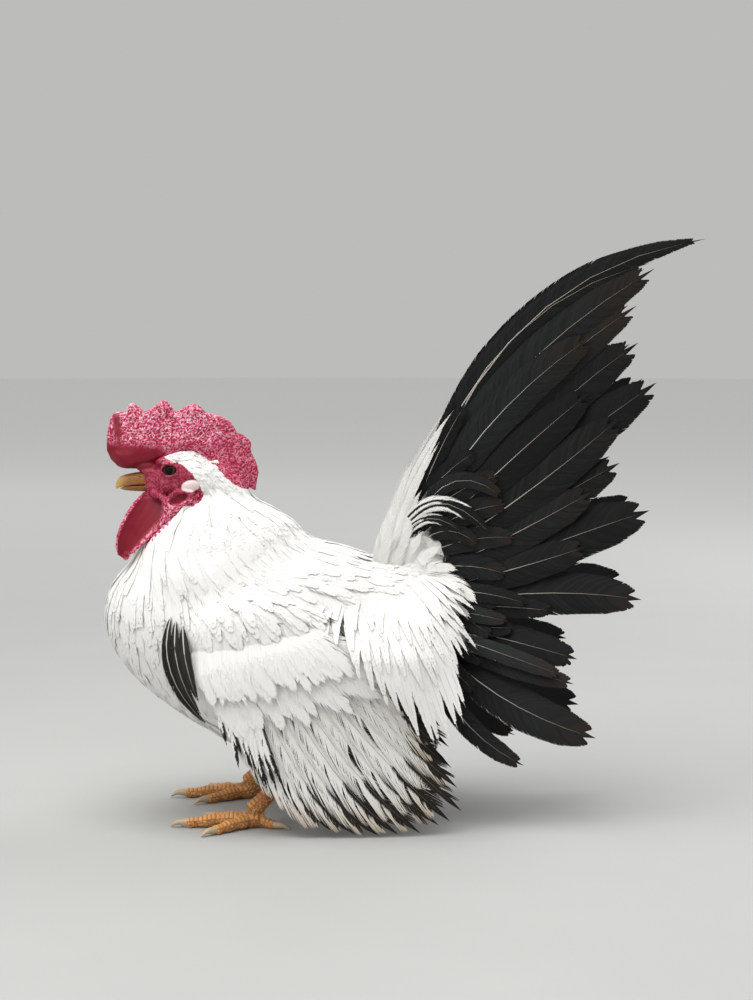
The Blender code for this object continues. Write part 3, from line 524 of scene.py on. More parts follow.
# Each row of the neck: height, front, back, half width.
NECK_ROWS = (
    (203, -116, -106, 5), (200, -117, -103, 8), (192, -124, -93, 12), (184, -132, -79, 20.5),
    (176, -140, -66, 27.5), (169, -147, -56, 33.5), (161, -152, -54, 39), (150, -156, -58, 44),
    (138, -158, -64, 48),
)
THIGH_TOP, HOCK_AT, ANKLE_AT = (-72, 29, 66), (-57, 33, 37), (-84, 36, 9.5)
RIGHT_FOOT_LEAD = np.array((-7.0, 0.0, 0.0))
# The upper arm in the wing, seen from the side.
ARM_LINE = ((-112, 104), (-90, 108), (-62, 110), (-34, 108))
RUMP_LINE = ((2, 0, 132), (14, 0, 150), (24, 0, 176))
BODY_GRAIN = 2.2


def mirrored(at, side):
    """A place given for +Y, on the left or right."""
    return np.array((at[0], at[1] * side, at[2]), float)


def led(at, name, side):
    """A place on a leg: the right foot stands a little further forward."""
    return mirrored(at, side) + (RIGHT_FOOT_LEAD if name == "right" else 0)


def share_between(start, end, share):
    """The place at a share of the way."""
    return start + (end - start) * share


print("trunk rows:", len(TRUNK_ROWS), "neck rows:", len(NECK_ROWS))

# %% [markdown]
# The neck is a stack of level rings and the trunk a row of upright ones, because that is how
# each of them is measured best. The dropped wing lies on a gently bulged sheet beside the body,
# given here as a distance from the middle, and the flesh of its arm lies just under that sheet.

# %% Flesh of the body
def neck_clay(inset):
    """Level rings from the skull into the shoulders."""
    turns = np.linspace(0, 2 * np.pi, 28, endpoint=False)
    rings = []
    for z, front, back, half in more_rows(NECK_ROWS, 22):
        middle, long = (front + back) / 2, (back - front) / 2 - inset
        rings.append(np.column_stack((middle + long * np.cos(turns), (half - inset) * np.sin(turns),
                                      np.full(len(turns), z))))
    return lofted(rings, (-111, 0, 204), (-105, 0, 132))


def wing_plane(x, z):
    """How far out the dropped wing lies at a place seen from the side."""
    forward = np.maximum(0, (-75 - x) / 60)
    backward = np.maximum(0, (x + 45) / 90)
    above = np.maximum(0, (z - 78) / 62)
    below = np.maximum(0, (70 - z) / 70)
    return 66 - 13 * forward**2 - 9 * backward**1.5 - 17 * above**2 + 3 * below


body_clays = [body_clay(TRUNK_ROWS, TRUNK_TIPS, 30, 40, COAT_DEPTH), neck_clay(2.5)]
for name, side in SIDES.items():
    top, hock = led(THIGH_TOP, name, side), led(HOCK_AT, name, side)
    line = [share_between(top, hock, share) for share in (0, 0.35, 0.75, 1.0)]
    body_clays.append(tube(line, (17, 16, 11, 5.5), up=(1, 0, 0)))
    arm = [(x, side * (wing_plane(x, z) - 10.5), z) for x, z in ARM_LINE]
    body_clays.append(tube(arm, (17, 23, 20, 11), flat=0.32, up=(0, 1, 0)))
body_clays.append(tube(RUMP_LINE, (20, 17, 9), up=(0, 1, 0), flat=0.55))
flesh_body = moulded("flesh_body", body_clays, BODY_GRAIN, 14)
print("body skin vertices:", len(flesh_body.data.vertices))

# %% [markdown]
# The head gets the most care, because it is what a viewer looks at first. The comb is a thick
# blade that bulges over the beak and thins toward its blunt points. Upright rings along it
# follow the outline of the points exactly, and a profile gives each ring its thickness.

# %% Skull and comb
HEAD_TIPS = ((-148.5, 196), (-96, 193))
HEAD_ROWS = (
    (-147, 201, 189.5, 5.2), (-143, 205, 186.5, 8.2), (-137, 209.5, 184, 11.5),
    (-129, 212.5, 183, 14), (-120, 212.4, 182, 14.6), (-111, 207.5, 181, 14), (-102, 200, 183, 10.5),
)
# Comb: base x and z, crest x and z, half thickness. The crest dips a little after each point.
COMB_TIPS = ((-167.5, 0, 208), (-83.5, 0, 189.5))
COMB_RIBS = (
    (-163, 203.5, -169.6, 213, 3.5), (-160, 202.8, -168.8, 226, 6), (-157, 202.3, -164.8, 234.0, 7.5),
    (-153, 202.6, -159.2, 235.0, 8), (-150, 203, -155.4, 239.8, 7.5), (-146, 204, -150.6, 237.6, 7.2),
    (-143, 205, -146.6, 235.2, 6.8), (-140, 206, -141.6, 238.4, 6.4), (-136, 207.5, -136.5, 241.8, 6),
    (-132, 209, -132.4, 238.8, 6), (-129, 210, -129.2, 235.4, 6), (-125, 211, -124.6, 237.8, 5.8),
    (-121, 211, -120.0, 239.4, 5.5), (-118, 210, -116.0, 238.4, 5.5), (-115, 208, -111.8, 234.0, 5.3),
    (-111, 205, -106.8, 233.6, 5), (-108, 203, -102.6, 232.0, 5), (-105, 200.5, -98, 228.6, 4.7),
    (-103, 199, -94.4, 223.6, 4.4), (-100, 197, -90.4, 221.2, 4.2), (-98, 195.5, -86.4, 217.4, 4),
    (-95.5, 194.5, -86.4, 211.6, 3.6), (-93, 193.5, -83.8, 207.4, 3.4), (-91, 193, -82.6, 202, 3),
    (-88.5, 192, -82.6, 197.6, 2.6), (-86.5, 191, -83.2, 193.0, 2),
)
COMB_PROFILE = ((0.0, 0.40), (0.10, 0.90), (0.25, 0.98), (0.45, 0.80), (0.65, 0.62), (0.85, 0.50),
                (0.95, 0.40), (1.0, 0.18))


def comb_clay():
    """Upright rings along the comb, with a rounded profile."""
    share, width = np.array(COMB_PROFILE).T
    rings = []
    for base_x, base_z, crest_x, crest_z, thick in more_rows(COMB_RIBS, 76):
        x = base_x + share * (crest_x - base_x)
        z = base_z + share * (crest_z - base_z)
        side = np.column_stack((x, thick * width, z))
        rings.append(np.vstack((side, (side * (1, -1, 1))[::-1])))
    return lofted(rings, *COMB_TIPS)


print("ribs of the comb:", len(COMB_RIBS))

# %% [markdown]
# Each wattle is a flap that hangs from the jaw, cupped between two thick rims. Its rings run
# across it from the front rim to the rear one, and their hollow side faces outward.

# %% Wattles
WATTLE_TIPS = ((-139, 5, 190.5), (-159, 16, 151.5))
# Wattle: front x and z, rear x and z, middle y, half thickness of the rim.
WATTLE_RIBS = (
    (-148, 189, -130, 188, 6.5, 2.0), (-154, 182.5, -127.5, 182, 9.5, 2.4),
    (-158.8, 174.5, -131, 174.5, 12.5, 2.5), (-162, 166.5, -139.5, 167, 14.5, 2.4),
    (-163, 159, -147.5, 160, 15.8, 2.1), (-162, 154, -154, 154.8, 16.2, 1.6),
)
WATTLE_CUP = 1.9


def wattle_clay(side):
    """Cupped rings down one wattle."""
    across = np.array((-1, -0.9, -0.72, -0.4, 0, 0.4, 0.72, 0.9, 1))
    rings = []
    for front_x, front_z, rear_x, rear_z, out, rim in more_rows(WATTLE_RIBS, 18):
        share = (1 + across) / 2
        x = front_x + share * (rear_x - front_x)
        z = front_z + share * (rear_z - front_z)
        hollow = WATTLE_CUP * (1 - across**4)
        half = rim * np.where(abs(across) == 1, 0.25, 0.5 + 0.5 * across**2)
        outer = np.column_stack((x, side * (out - hollow + half), z))
        inner = np.column_stack((x, side * (out - hollow * 0.3 - half), z))
        rings.append(np.vstack((outer, inner[::-1])))
    return lofted(rings, *(mirrored(tip, side) for tip in WATTLE_TIPS))


print("ribs of a wattle:", len(WATTLE_RIBS))

# %% [markdown]
# An eye looks outward and a little forward. Its three axes are needed for the lids, for their
# opening and for the iris. The opening is an almond, a little fuller toward the beak.

# %% Eye measures
EYE_AT, EYE_RADIUS = (-131.5, 10.2, 202), 5.0
EYE_YAW = math.radians(12)
LID_WIDE, LID_TALL = 5.6, 3.2


def eye_axes(side):
    """Forward, outward and upward at an eye."""
    out = unit((-math.sin(EYE_YAW), side * math.cos(EYE_YAW), 0.06))
    ahead = unit(np.cross((0, 0, 1), out)) * side
    return ahead, out, unit(np.cross(ahead, out)) * side


def almond(side, wide, tall, out_by):
    """The outline of an eye's opening, some way out along the eye's axis."""
    ahead, out, up = eye_axes(side)
    turns = np.linspace(0, 2 * np.pi, 36, endpoint=False)
    flat = np.sign(np.cos(turns)) * abs(np.cos(turns)) ** 0.9 * wide
    high = np.sin(turns) * (1 - 0.12 * np.cos(turns)) * tall
    return mirrored(EYE_AT, side) + np.outer(flat, ahead) + np.outer(high, up) + out * out_by


print("eye looks along:", eye_axes(SIDES["left"])[1].round(2))

# %% [markdown]
# Folds of the face. The lids are a shell round the eyeball with a thick edge. Under the earlobe
# a fold runs round an oval hollow, and a lappet and a jowl join it to the wattle. Small lumps
# make brow, cheek and lore. All of it is fused at a grain of 0.39 mm, fine enough for wrinkles.

# %% Head clay
LOBE_AT, LOBE_SIZE = (-119.9, 14.1, 193.2), (5.5, 2.0, 3.4)
HOLLOW_AT = (-126.6, 14.0, 185.8)
HOLLOW_FOLD, HOLLOW_TILT = (7.6, 4.0), math.radians(24)
# Lumps of the face, given for +Y: place, size and turn. The last one is the earlobe.
FACE_LUMPS = (
    ((-133.5, 9.2, 207.6), (7.5, 3.4, 2.6), -8), ((-130, 10.6, 194.5), (8.5, 3.6, 5.0), 10),
    ((-140.5, 5.6, 191.6), (5.4, 3.4, 3.4), 16), ((-143.5, 4.4, 200.4), (5.6, 3.0, 3.0), 14),
    ((-141.5, 6.0, 191.8), (5.0, 2.6, 2.6), 10), (LOBE_AT, LOBE_SIZE, -10),
)
LAPPET_LINE = ((-116.5, 13.0, 188), (-123, 13.6, 182), (-131, 13.4, 178), (-139, 14.2, 169))
JOWL_LINE = ((-143, 8.0, 189), (-137, 10.8, 186.5), (-133.5, 12.8, 181), (-134, 13.6, 175))
NAPE_LINE = ((-112, 0, 200), (-102, 0, 190), (-98, 0, 176))
HEAD_GRAIN = 0.39

head_clays = [body_clay(HEAD_ROWS, HEAD_TIPS, 30, 40), comb_clay()]
head_clays.append(lump((-158, 0, 209), (9.8, 7.4, 6.0), (0, 25, 0)))
head_clays.append(lump((-146, 0, 203.5), (7.5, 6.4, 4.6), (0, 15, 0)))
head_clays.append(tube(NAPE_LINE, (12.5, 13, 15), up=(0, 1, 0)))
for side in SIDES.values():
    eye = mirrored(EYE_AT, side)
    _, eye_out, eye_up = eye_axes(side)
    head_clays.append(lump(eye, (EYE_RADIUS + 0.9,) * 3))
    lid_edge = almond(side, LID_WIDE + 0.4, LID_TALL + 0.4, 0)
    lid_edge = eye + unit(lid_edge + eye_out * 4.1 - eye) * (EYE_RADIUS + 0.75)
    head_clays.append(hoop(lid_edge, 0.75))
    for at, size, turn in FACE_LUMPS:
        head_clays.append(lump(mirrored(at, side), size, (0, turn, 0)))
    turns = np.linspace(0, 2 * np.pi, 28, endpoint=False)
    wide, tall = HOLLOW_FOLD[0] * np.cos(turns), HOLLOW_FOLD[1] * np.sin(turns)
    fold = np.column_stack((wide * math.cos(HOLLOW_TILT) - tall * math.sin(HOLLOW_TILT), side * 0.10 * wide,
                            wide * math.sin(HOLLOW_TILT) + tall * math.cos(HOLLOW_TILT)))
    head_clays.append(hoop(mirrored(HOLLOW_AT, side) + fold, 2.2 + 0.7 * np.cos(turns + 1.2)))
    head_clays.append(lump(mirrored((-126.5, 12.2, 186.0), side), (7.0, 1.6, 4.2), (0, -24, 0)))
    lappet = [mirrored(place, side) for place in LAPPET_LINE]
    head_clays.append(tube(lappet, (2.4, 3.2, 3.2, 1.8), up=(0, 1, 0)))
    jowl = [mirrored(place, side) for place in JOWL_LINE]
    head_clays.append(tube(jowl, (1.8, 2.2, 2.3, 1.6), up=(0, 1, 0)))
    head_clays.append(lump(eye + (eye_out * 4.6 - eye_up * 3.9), (4.6, 1.6, 1.2)))
    head_clays.append(wattle_clay(side))
    head_clays.append(lump(mirrored((-157.3, 16.0, 153.2), side), (1.9, 1.4, 2.3)))
flesh_head = moulded("flesh_head", head_clays, HEAD_GRAIN, 4)
print("head skin vertices:", len(flesh_head.data.vertices))

# %% [markdown]
# Relief of the head. The papillae of a cock merge into short winding ridges, pale on top, partly
# as painted highlight, with crimson pits in between. They cover comb, face folds and rims. The
# level lines of a smooth noise wind in the same way, so the ridges follow its zero line. The roll
# under the comb's front, the cups of the wattles and the hollows stay smooth, and fine rings run
# round the eye. The smooth parts are later painted dark as shade. The same measures are kept to
# paint the marks later.

# %% Masks of the head
RIDGE_SIZE, RIDGE_HEIGHT = 1.5, 0.36


def ramp(values, low, high):
    """0 below low and 1 above high, softly in between."""
    t = np.clip((np.asarray(values, float) - low) / (high - low), 0, 1)
    return t * t * (3 - 2 * t)


def ellipse_mask(places, at, size, tilt, soft=0.25):
    """1 inside an oval seen from the side, 0 outside it."""
    turn = math.radians(tilt)
    dx, dz = places[:, 0] - at[0], places[:, 2] - at[2]
    along = (dx * math.cos(turn) + dz * math.sin(turn)) / size[0]
    over = (dz * math.cos(turn) - dx * math.sin(turn)) / size[1]
    return 1 - ramp(np.hypot(along, over), 1 - soft, 1 + soft)


def papillae(places):
    """Height of the winding ridges, 0 in the pits and 1 on the crests."""
    level = np.array([noise.noise(Vector(place) / RIDGE_SIZE) for place in places])
    return 1 - ramp(abs(level), 0.05, 0.30)


def wattle_share(places):
    """How far across (-1 front, 1 rear) and down a place lies on the wattles."""
    rows = more_rows(WATTLE_RIBS, 18)[::-1]
    heights = (rows[:, 1] + rows[:, 3]) / 2
    front = np.interp(places[:, 2], heights, rows[:, 0])
    rear = np.interp(places[:, 2], heights, rows[:, 2])
    return (2 * places[:, 0] - front - rear) / (rear - front)


def head_masks(places):
    """Where the skin of the head is smooth, lobed or bare of papillae."""
    x, y, z = places.T
    out = abs(y)
    lobe = ellipse_mask(places, LOBE_AT, (5.6, 3.4), 10, 0.10) * ramp(out, 12.4, 13.4)
    hollow = ellipse_mask(places, HOLLOW_AT, (5.4, 2.1), 24, 0.25) * ramp(out, 9, 11)
    across = wattle_share(places)
    cup = (1 - ramp(across, 0.42, 0.66)) * (1 - ramp(-across, 0.78, 0.95)) * (1 - ramp(z, 183, 189))
    cup *= (1 - ramp(x, -139, -134)) * ramp(z, 151, 154)
    under = (1 - ramp(z + 0.06 * (x + 165), 213.5, 218.5)) * (1 - ramp(x, -141, -134)) * ramp(z, 201, 203)
    groove = ellipse_mask(places, (-163.0, 0, 227), (2.2, 9.5), 8, 0.5) * ramp(out, 1.5, 3.0) * 0.8
    bill_end = (1 - ramp(x, -150, -146)) * (1 - ramp(z, 200, 203)) * ramp(z, 190, 191)
    # Every smooth part here is later painted dark as shade: the hollow, the wattle cups, the roll under the
    # comb, the groove and the bill's end.
    smooth = np.clip(hollow + cup + under + groove + bill_end, 0, 1)
    return smooth, lobe


print("ridges of width mm:", RIDGE_SIZE)

# %% [markdown]
# The relief could be a bump in the finish, but the comb's outline shows it too, so the vertices
# themselves move out along their normals. The comb and wattles have the highest ridges, and
# slow swells of the comb keep it from looking cast.

# %% Head relief
head_places = places_of(flesh_head)
smooth, lobe = head_masks(head_places)
height = papillae(head_places) * (1 - smooth) * (1 - lobe)
combness = ramp(head_places[:, 2] + 0.35 * abs(head_places[:, 0] + 125), 208, 216)
height *= 0.45 + 0.55 * np.maximum(combness, 1 - ramp(head_places[:, 2], 186, 192))
for side in SIDES.values():
    ahead, out, up = eye_axes(side)
    apart = head_places - mirrored(EYE_AT, side)
    ring = np.hypot(apart @ ahead / 1.25, apart @ up)
    near_eye = (apart @ out > 0) * (1 - ramp(ring, 6.0, 9.0))
    fine_rings = near_eye * (0.5 + 0.5 * np.sin(ring * 4.2)) * ramp(ring, 3.4, 4.4) * 0.55
    height = height * (1 - near_eye * 0.75) + fine_rings
swell = np.array([noise.noise(Vector(p) / 7.0) for p in head_places]) * 0.55 * combness
rim = ellipse_mask(head_places, LOBE_AT, (6.6, 4.4), 10, 0.06) * (1 - lobe)
rim *= ramp(abs(head_places[:, 1]), 12.4, 13.4)
swell -= rim * 0.5
place_all(flesh_head, head_places + normals_of(flesh_head) * (height * RIDGE_HEIGHT + swell)[:, None])
print("ridges up to mm:", round(float(height.max() * RIDGE_HEIGHT), 2))

# %% [markdown]
# The eye opening. A ball a little larger than the eyeball hollows the lids from inside, and an
# almond-shaped prism opens them. Boolean cuts keep the lid's edge crisp.

# %% Open the lids
for name, side in SIDES.items():
    socket = lump(mirrored(EYE_AT, side), (EYE_RADIUS + 0.12,) * 3)
    flesh_head = merged(flesh_head, thrown("socket_" + name, [socket]), "DIFFERENCE")
    inner = almond(side, LID_WIDE * 0.6, LID_TALL * 0.6, 2.0)
    outer = almond(side, LID_WIDE * 1.35, LID_TALL * 1.35, 9.0)
    prism = lofted([inner, outer], inner.mean(axis=0), outer.mean(axis=0))
    flesh_head = merged(flesh_head, thrown("opening_" + name, [prism]), "DIFFERENCE")
print("head skin after the cuts:", len(flesh_head.data.vertices))

# %% [markdown]
# Legs and feet. A toe is a row of padded joints, and its sole is pressed flat on the floor. A
# tube whose radius swells at each joint gives that shape. The bones inside are kept, because
# the scales are laid out along them afterwards.

# %% Feet clay
SOLE_SINK = 0.7
# Toes: heading in degrees outward from straight ahead, length, root and tip radius, joints.
TOES = {
    "inner": (-32, 27, 4.3, 2.9, 2), "middle": (2, 37, 4.7, 3.1, 3),
    "outer": (42, 27, 4.3, 2.9, 3), "back": (158, 13, 3.8, 2.6, 1),
}
SHANK_RADII = (5.4, 4.7, 4.5, 5.2)
LEG_GRAIN = 0.5


def toe_line(name, side, toe):
    """Start, knuckle and end of a toe, and its direction."""
    heading, length, root, tip, _ = TOES[toe]
    turn = math.radians(heading)
    ahead = np.array((-math.cos(turn), side * math.sin(turn), 0))
    start = led(ANKLE_AT, name, side) * (1, 1, 0) + (0, 0, root - SOLE_SINK)
    end = start * (1, 1, 0) + ahead * length + (0, 0, tip - SOLE_SINK)
    knuckle = share_between(start, end, 0.5) + (0, 0, 0.9)
    return start, knuckle, end, ahead


def toe_clay(name, side, toe):
    """A toe that swells at its joints and ends in a pad."""
    start, knuckle, end, _ = toe_line(name, side, toe)
    _, _, root, tip, joints = TOES[toe]
    steps = np.linspace(0, 1, 6 * joints + 2)
    line, radii = [], []
    for t in steps:
        bow = (1 - t) ** 2 * start + 2 * t * (1 - t) * (2 * knuckle - (start + end) / 2) + t * t * end
        line.append(bow)
        radii.append((root + (tip - root) * t) * (0.93 + 0.09 * math.cos(2 * math.pi * joints * t)))
    return tube(line, radii, count=40)


foot_bones = []
leg_clays = []
for name, side in SIDES.items():
    hock, ankle = led(HOCK_AT, name, side), led(ANKLE_AT, name, side)
    shank = [share_between(hock, ankle, share) for share in (-0.15, 0.3, 0.7, 1.0)]
    leg_clays.append(tube(shank, SHANK_RADII, up=(1, 0, 0)))
    leg_clays.append(lump(ankle - (0, 0, 4), (7, 6, 5.2)))
    foot_bones.append((hock, ankle))
    for toe in TOES:
        leg_clays.append(toe_clay(name, side, toe))
        start, knuckle, end, ahead = toe_line(name, side, toe)
        foot_bones += [(start, knuckle), (knuckle, end + ahead * 3)]
flesh_legs = moulded("flesh_legs", leg_clays, LEG_GRAIN, 3)
print("bones of the feet:", len(foot_bones))

# %% [markdown]
# The front of a shank and the top of a toe carry broad overlapping scutes, and the sides small
# scales. So the relief of a place comes from its nearest bone: how far along it the place lies
# makes the scutes, and on which side of it chooses between scutes and small scales.

# %% Scales of the legs
SCUTE_LENGTH, SCUTE_HEIGHT = 2.5, 0.42


def leg_relief(places):
    """Height and groove depth of the scales at places on the legs."""
    best = np.full(len(places), 1e9)
    along, around = np.zeros(len(places)), np.zeros(len(places))
    for start, end in foot_bones:
        bone = end - start
        long = np.linalg.norm(bone)
        ahead = bone / long
        t = np.clip((places - start) @ ahead, 0, long)
        off = places - start - np.outer(t, ahead)
        away = np.linalg.norm(off, axis=1)
        face = np.array((-1, 0, 0.4)) if abs(ahead[2]) > 0.5 else np.array((0, 0, 1.0))
        face = unit(face - ahead * (face @ ahead))
        nearer = away < best
        best = np.where(nearer, away, best)
        along = np.where(nearer, t + 0.37 * long, along)
        turned = np.arccos(np.clip(off @ face / np.maximum(away, 1e-6), -1, 1))
        around = np.where(nearer, np.degrees(turned), around)
    step = along / SCUTE_LENGTH % 1.0
    plate = np.minimum(step / 0.85, 1) * (1 - ramp(step, 0.88, 1.0))
    small = np.array([noise.voronoi(Vector(p) / 1.5)[0][:2] for p in places])
    cell = ramp(small[:, 1] - small[:, 0], 0.02, 0.4)
    front = 1 - ramp(around, 58, 70)
    edge = ramp(abs(around - 66), 0, 7)
    height = (front * plate + (1 - front) * cell * 0.6) * edge
    return height, np.clip(1 - height * 1.6, 0, 1) * 0.8


leg_places = places_of(flesh_legs)
scale_height, _ = leg_relief(leg_places)
leg_places += normals_of(flesh_legs) * (scale_height * SCUTE_HEIGHT - 0.15)[:, None]
leg_places[:, 2] = np.maximum(leg_places[:, 2], 0.0)
place_all(flesh_legs, leg_places)
print("leg skin vertices:", len(flesh_legs.data.vertices))

# %% [markdown]
# One skin. The three moulds overlap, so a union makes them a single closed surface. Where the
# coat begins on a bird is a sharp line, so the regions are cut by lines measured from the side:
# round the face, under the comb, down the throat and across the hock.

# %% One skin
skin = merged(flesh_body, flesh_head)
skin = merged(skin, flesh_legs)
skin.name = "skin"
skin_places = places_of(skin)
x, y, z = skin_places.T
out = abs(y)
leg_line = 42.5 + 0.9 * (x + 60 - np.where(y > 0, RIGHT_FOOT_LEAD[0], 0))
on_leg = (z < 40) & (x < -48) & (x > -150) & (z < leg_line) | (z < 9)
# The cap of feathers ends along this line behind the face, given as x for heights.
CAP_EDGE = ((172.7, -134.2), (179.3, -121), (185.4, -115.2), (191.4, -113.2), (196.8, -118.5),
            (200, -120.3), (205.5, -126.2), (207.6, -132.8), (210, -137), (214, -141))
cap_x = np.interp(z, *np.array(CAP_EDGE).T)
comb_line = np.interp(x, (-150, -129, -120, -112, -104.7, -97.7, -89.5, -80),
                      (204, 211.5, 212.5, 208, 201.4, 194.2, 190.4, 188))
on_comb = z > comb_line + 0.6
on_comb |= (z > 184) & (out < 4.5) & (x > -100) & (z > 250 + 0.62 * x)
throat_line = x < -129.5 - (176 - z) * 1.0
on_face = (x < cap_x + 1.5) & (z > 150) & ((z > 182) | throat_line & ((z > 162) | (out > 12)))
on_wattle = (z > 148) & (z < 156) & (x < -153.5) & (out > 12) & (out < 20)
on_head = on_face | on_wattle | on_comb & (x < -80) & (z > 184)
print("bare skin vertices on the head:", int(on_head.sum()), "on the legs:", int(on_leg.sum()))

# %% [markdown]
# The marks are painted per vertex from the same masks that shaped the relief, so that colour
# and shape agree. The tops of the papillae are painted palest along the comb's upper part, as
# painted light where the comb faces the light from above, and the smooth parts are painted dark
# as shade. The bare skin round the eye is smoother and deeper in colour.

# %% Marks on the skin
smooth, lobe = head_masks(skin_places)
grain_top = papillae(skin_places[on_head])
# Painted light: papillae on the comb's upper part are painted paler where it faces the light from above,
# less so toward the rear.
painted_light_band = ramp(z, 212, 221) * (1 - 0.45 * ramp(x, -114, -92))
bare_face = ramp(z, 185, 189) * (1 - ramp(z, 204, 208)) * (1 - ramp(x, -117, -114))
pale_and_lit = np.maximum(painted_light_band, 0.85 * (1 - ramp(z, 185, 189)))
pale_and_lit = np.maximum(pale_and_lit, 0.55)
smooth = np.maximum(smooth, 0.45 * bare_face)
marks = np.zeros((len(skin_places), 4))
marks[:, 3] = 1
marks[on_head, 0] = grain_top * ((1 - smooth) * pale_and_lit)[on_head]
marks[on_head, 1] = smooth[on_head]
marks[on_head, 2] = lobe[on_head]
_, leg_groove = leg_relief(skin_places[on_leg])
marks[on_leg, 0] = leg_groove
marks[on_leg, 2] = ramp(skin_places[on_leg, 2], 9, 26) * 0.8
marks[~on_leg & ~on_head, 1] = ramp(x[~on_leg & ~on_head], -2, 8)
paint = skin.data.attributes.new("marks", "FLOAT_COLOR", "POINT")
paint.data.foreach_set("color", marks.astype(np.float32).ravel())
print("palest papilla:", round(float(marks[on_head, 0].max()), 2))

# %% [markdown]
# Each face takes the finish of its first corner's region. The feathers are laid in millimetres
# on this surface, so a search tree of it is kept before the skin moves to the frame's metres.

# %% Finishes of the skin
skin.data.materials.clear()
for finish in (hidden_skin, red_skin, leg_skin):
    skin.data.materials.append(finish.material)
loop_starts = numbers(skin.data.polygons, "loop_start", kind=np.int32)
corners = numbers(skin.data.loops, "vertex_index", kind=np.int32)
kind = np.where(on_head, 1, np.where(on_leg, 2, 0))[corners[loop_starts]]
skin.data.polygons.foreach_set("material_index", kind.astype(np.int32))
skin.data.polygons.foreach_set("use_smooth", np.ones(len(kind), bool))
bed = BVHTree.FromPolygons([tuple(p) for p in skin_places],
                           [tuple(face.vertices) for face in skin.data.polygons])
place_all(skin, to_frame(skin_places))
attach(skin, "root")
print("skin triangles:", sum(len(face.vertices) - 2 for face in skin.data.polygons))

# %% [markdown]
# Eyeballs. A cock's eye is an orange-brown iris round a black pupil, under a clear bulging
# cornea. A ball with its front drawn out a little and a clear coat reads the same at this size.

# %% Eye finish
def eye_finish(side):
    """Iris and pupil by distance from the eye's axis."""
    made = Finish(f"eye_{side}", Roughness=0.35, Specular_IOR_Level=0.1, Coat_Weight=0.12,
                  Coat_Roughness=0.03, IOR=1.4)
    out = eye_axes(SIDES[side])[1]
    pole = tuple(Vector(to_frame(mirrored(EYE_AT, SIDES[side]) + out * EYE_RADIUS)))
    apart = made.node("ShaderNodeVectorMath", {0: made.place(), 1: pole}, operation="DISTANCE")
    gone = apart.outputs["Value"]
    rays = made.clouds(2600.0, 4.0)
    iris = made.mix(rays, (0.045, 0.024, 0.010), (0.11, 0.055, 0.020))
    iris = made.mix(made.spread(gone, 0.0032, 0.0042), iris, (0.02, 0.010, 0.006))
    made.colour(made.mix(made.spread(gone, 0.0024, 0.0027), (0.003, 0.003, 0.003), iris))
    return made.material


eye_finishes = {name: eye_finish(name) for name in SIDES}
print("eye finishes:", [finish.name for finish in eye_finishes.values()])

# %% [markdown]
# The eyeball sits behind the opening of the lids, a hair smaller than its socket. Only the part
# that looks out is drawn forward, as the cornea is.

# %% Eyeballs
for name, side in SIDES.items():
    centre = mirrored(EYE_AT, side)
    ball_places, ball_faces = lump((0, 0, 0), (1, 1, 1))
    front = ramp(ball_places @ eye_axes(side)[1], 0.72, 1.0)
    ball_places = centre + ball_places * (EYE_RADIUS * (1 + 0.07 * front))[:, None]
    eyeball = thrown(f"eyeball_{name}", [(to_frame(ball_places), ball_faces)])
    dressed(eyeball, eye_finishes[name], "eye_glass", f"eye_{name}")
print("eyeballs of radius mm:", EYE_RADIUS)

# %% [markdown]
# Horn grows in fine layers, so beak and claws show faint lines along their length, and the
# horn pales where it wears. The lines come from a noise that is stretched along X.

# %% Horn finish
def horn_finish(name, base, worn, worn_from, worn_to):
    """Horn that pales toward the tip, along X."""
    made = Finish(name, Roughness=0.38, Coat_Weight=0.1, Coat_Roughness=0.2, Subsurface_Weight=0.1,
                  Subsurface_Scale=0.003)
    place = made.place()
    x_part = made.node("ShaderNodeSeparateXYZ", {0: place}).outputs[0]
    stretched = made.node("ShaderNodeMapping", {0: place, "Scale": (1.0, 3.0, 5.0)}).outputs[0]
    lines = made.node("ShaderNodeTexNoise", {"Vector": stretched, "Scale": 420.0, "Detail": 4.0})
    lines = lines.outputs["Fac"]
    tone = made.mix(made.spread(lines, 0.3, 0.7), base, tuple(c * 0.62 for c in base))
    made.colour(made.mix(made.spread(x_part, worn_from, worn_to), tone, worn))
    made.relief(lines, 0.0002, 0.5)
    return made.material


# The beak is worn pale over its last 9 mm. The claws have one tone, so their range of wear lies
# far in front of them.
beak_low, beak_high = float(to_frame((-165, 0, 0))[0]), float(to_frame((-156, 0, 0))[0])
beak_horn = horn_finish("beak_horn", (0.34, 0.115, 0.012), (0.54, 0.32, 0.08), beak_high, beak_low)
claw_horn = horn_finish("claw_horn", (0.66, 0.50, 0.30), (0.52, 0.40, 0.25), -10.0, -9.0)
print("horn finishes:", beak_horn.name, claw_horn.name)

# %% [markdown]
# The short strong beak has a ridge along its top and cutting edges that close over the lower
# half. Both halves are lofts along X, round outside and nearly flat where they meet. A slit
# nostril is cut into each side of the upper one.

# %% Beak
UPPER_BILL = (
    (-141, 201.2, 193.0, 4.9), (-146, 201.2, 193.0, 4.9), (-150, 200.6, 192.9, 4.7),
    (-155, 199.8, 192.7, 4.2), (-160, 198.6, 192.1, 3.3), (-162.8, 197.0, 191.2, 2.3),
    (-164.4, 194.6, 190.4, 1.2),
)
LOWER_BILL = (
    (-141, 192.95, 189.0, 4.3), (-146, 192.95, 189.0, 4.2), (-150, 192.85, 189.1, 3.9),
    (-156, 192.5, 189.4, 3.0), (-160.2, 191.9, 189.8, 1.8),
)


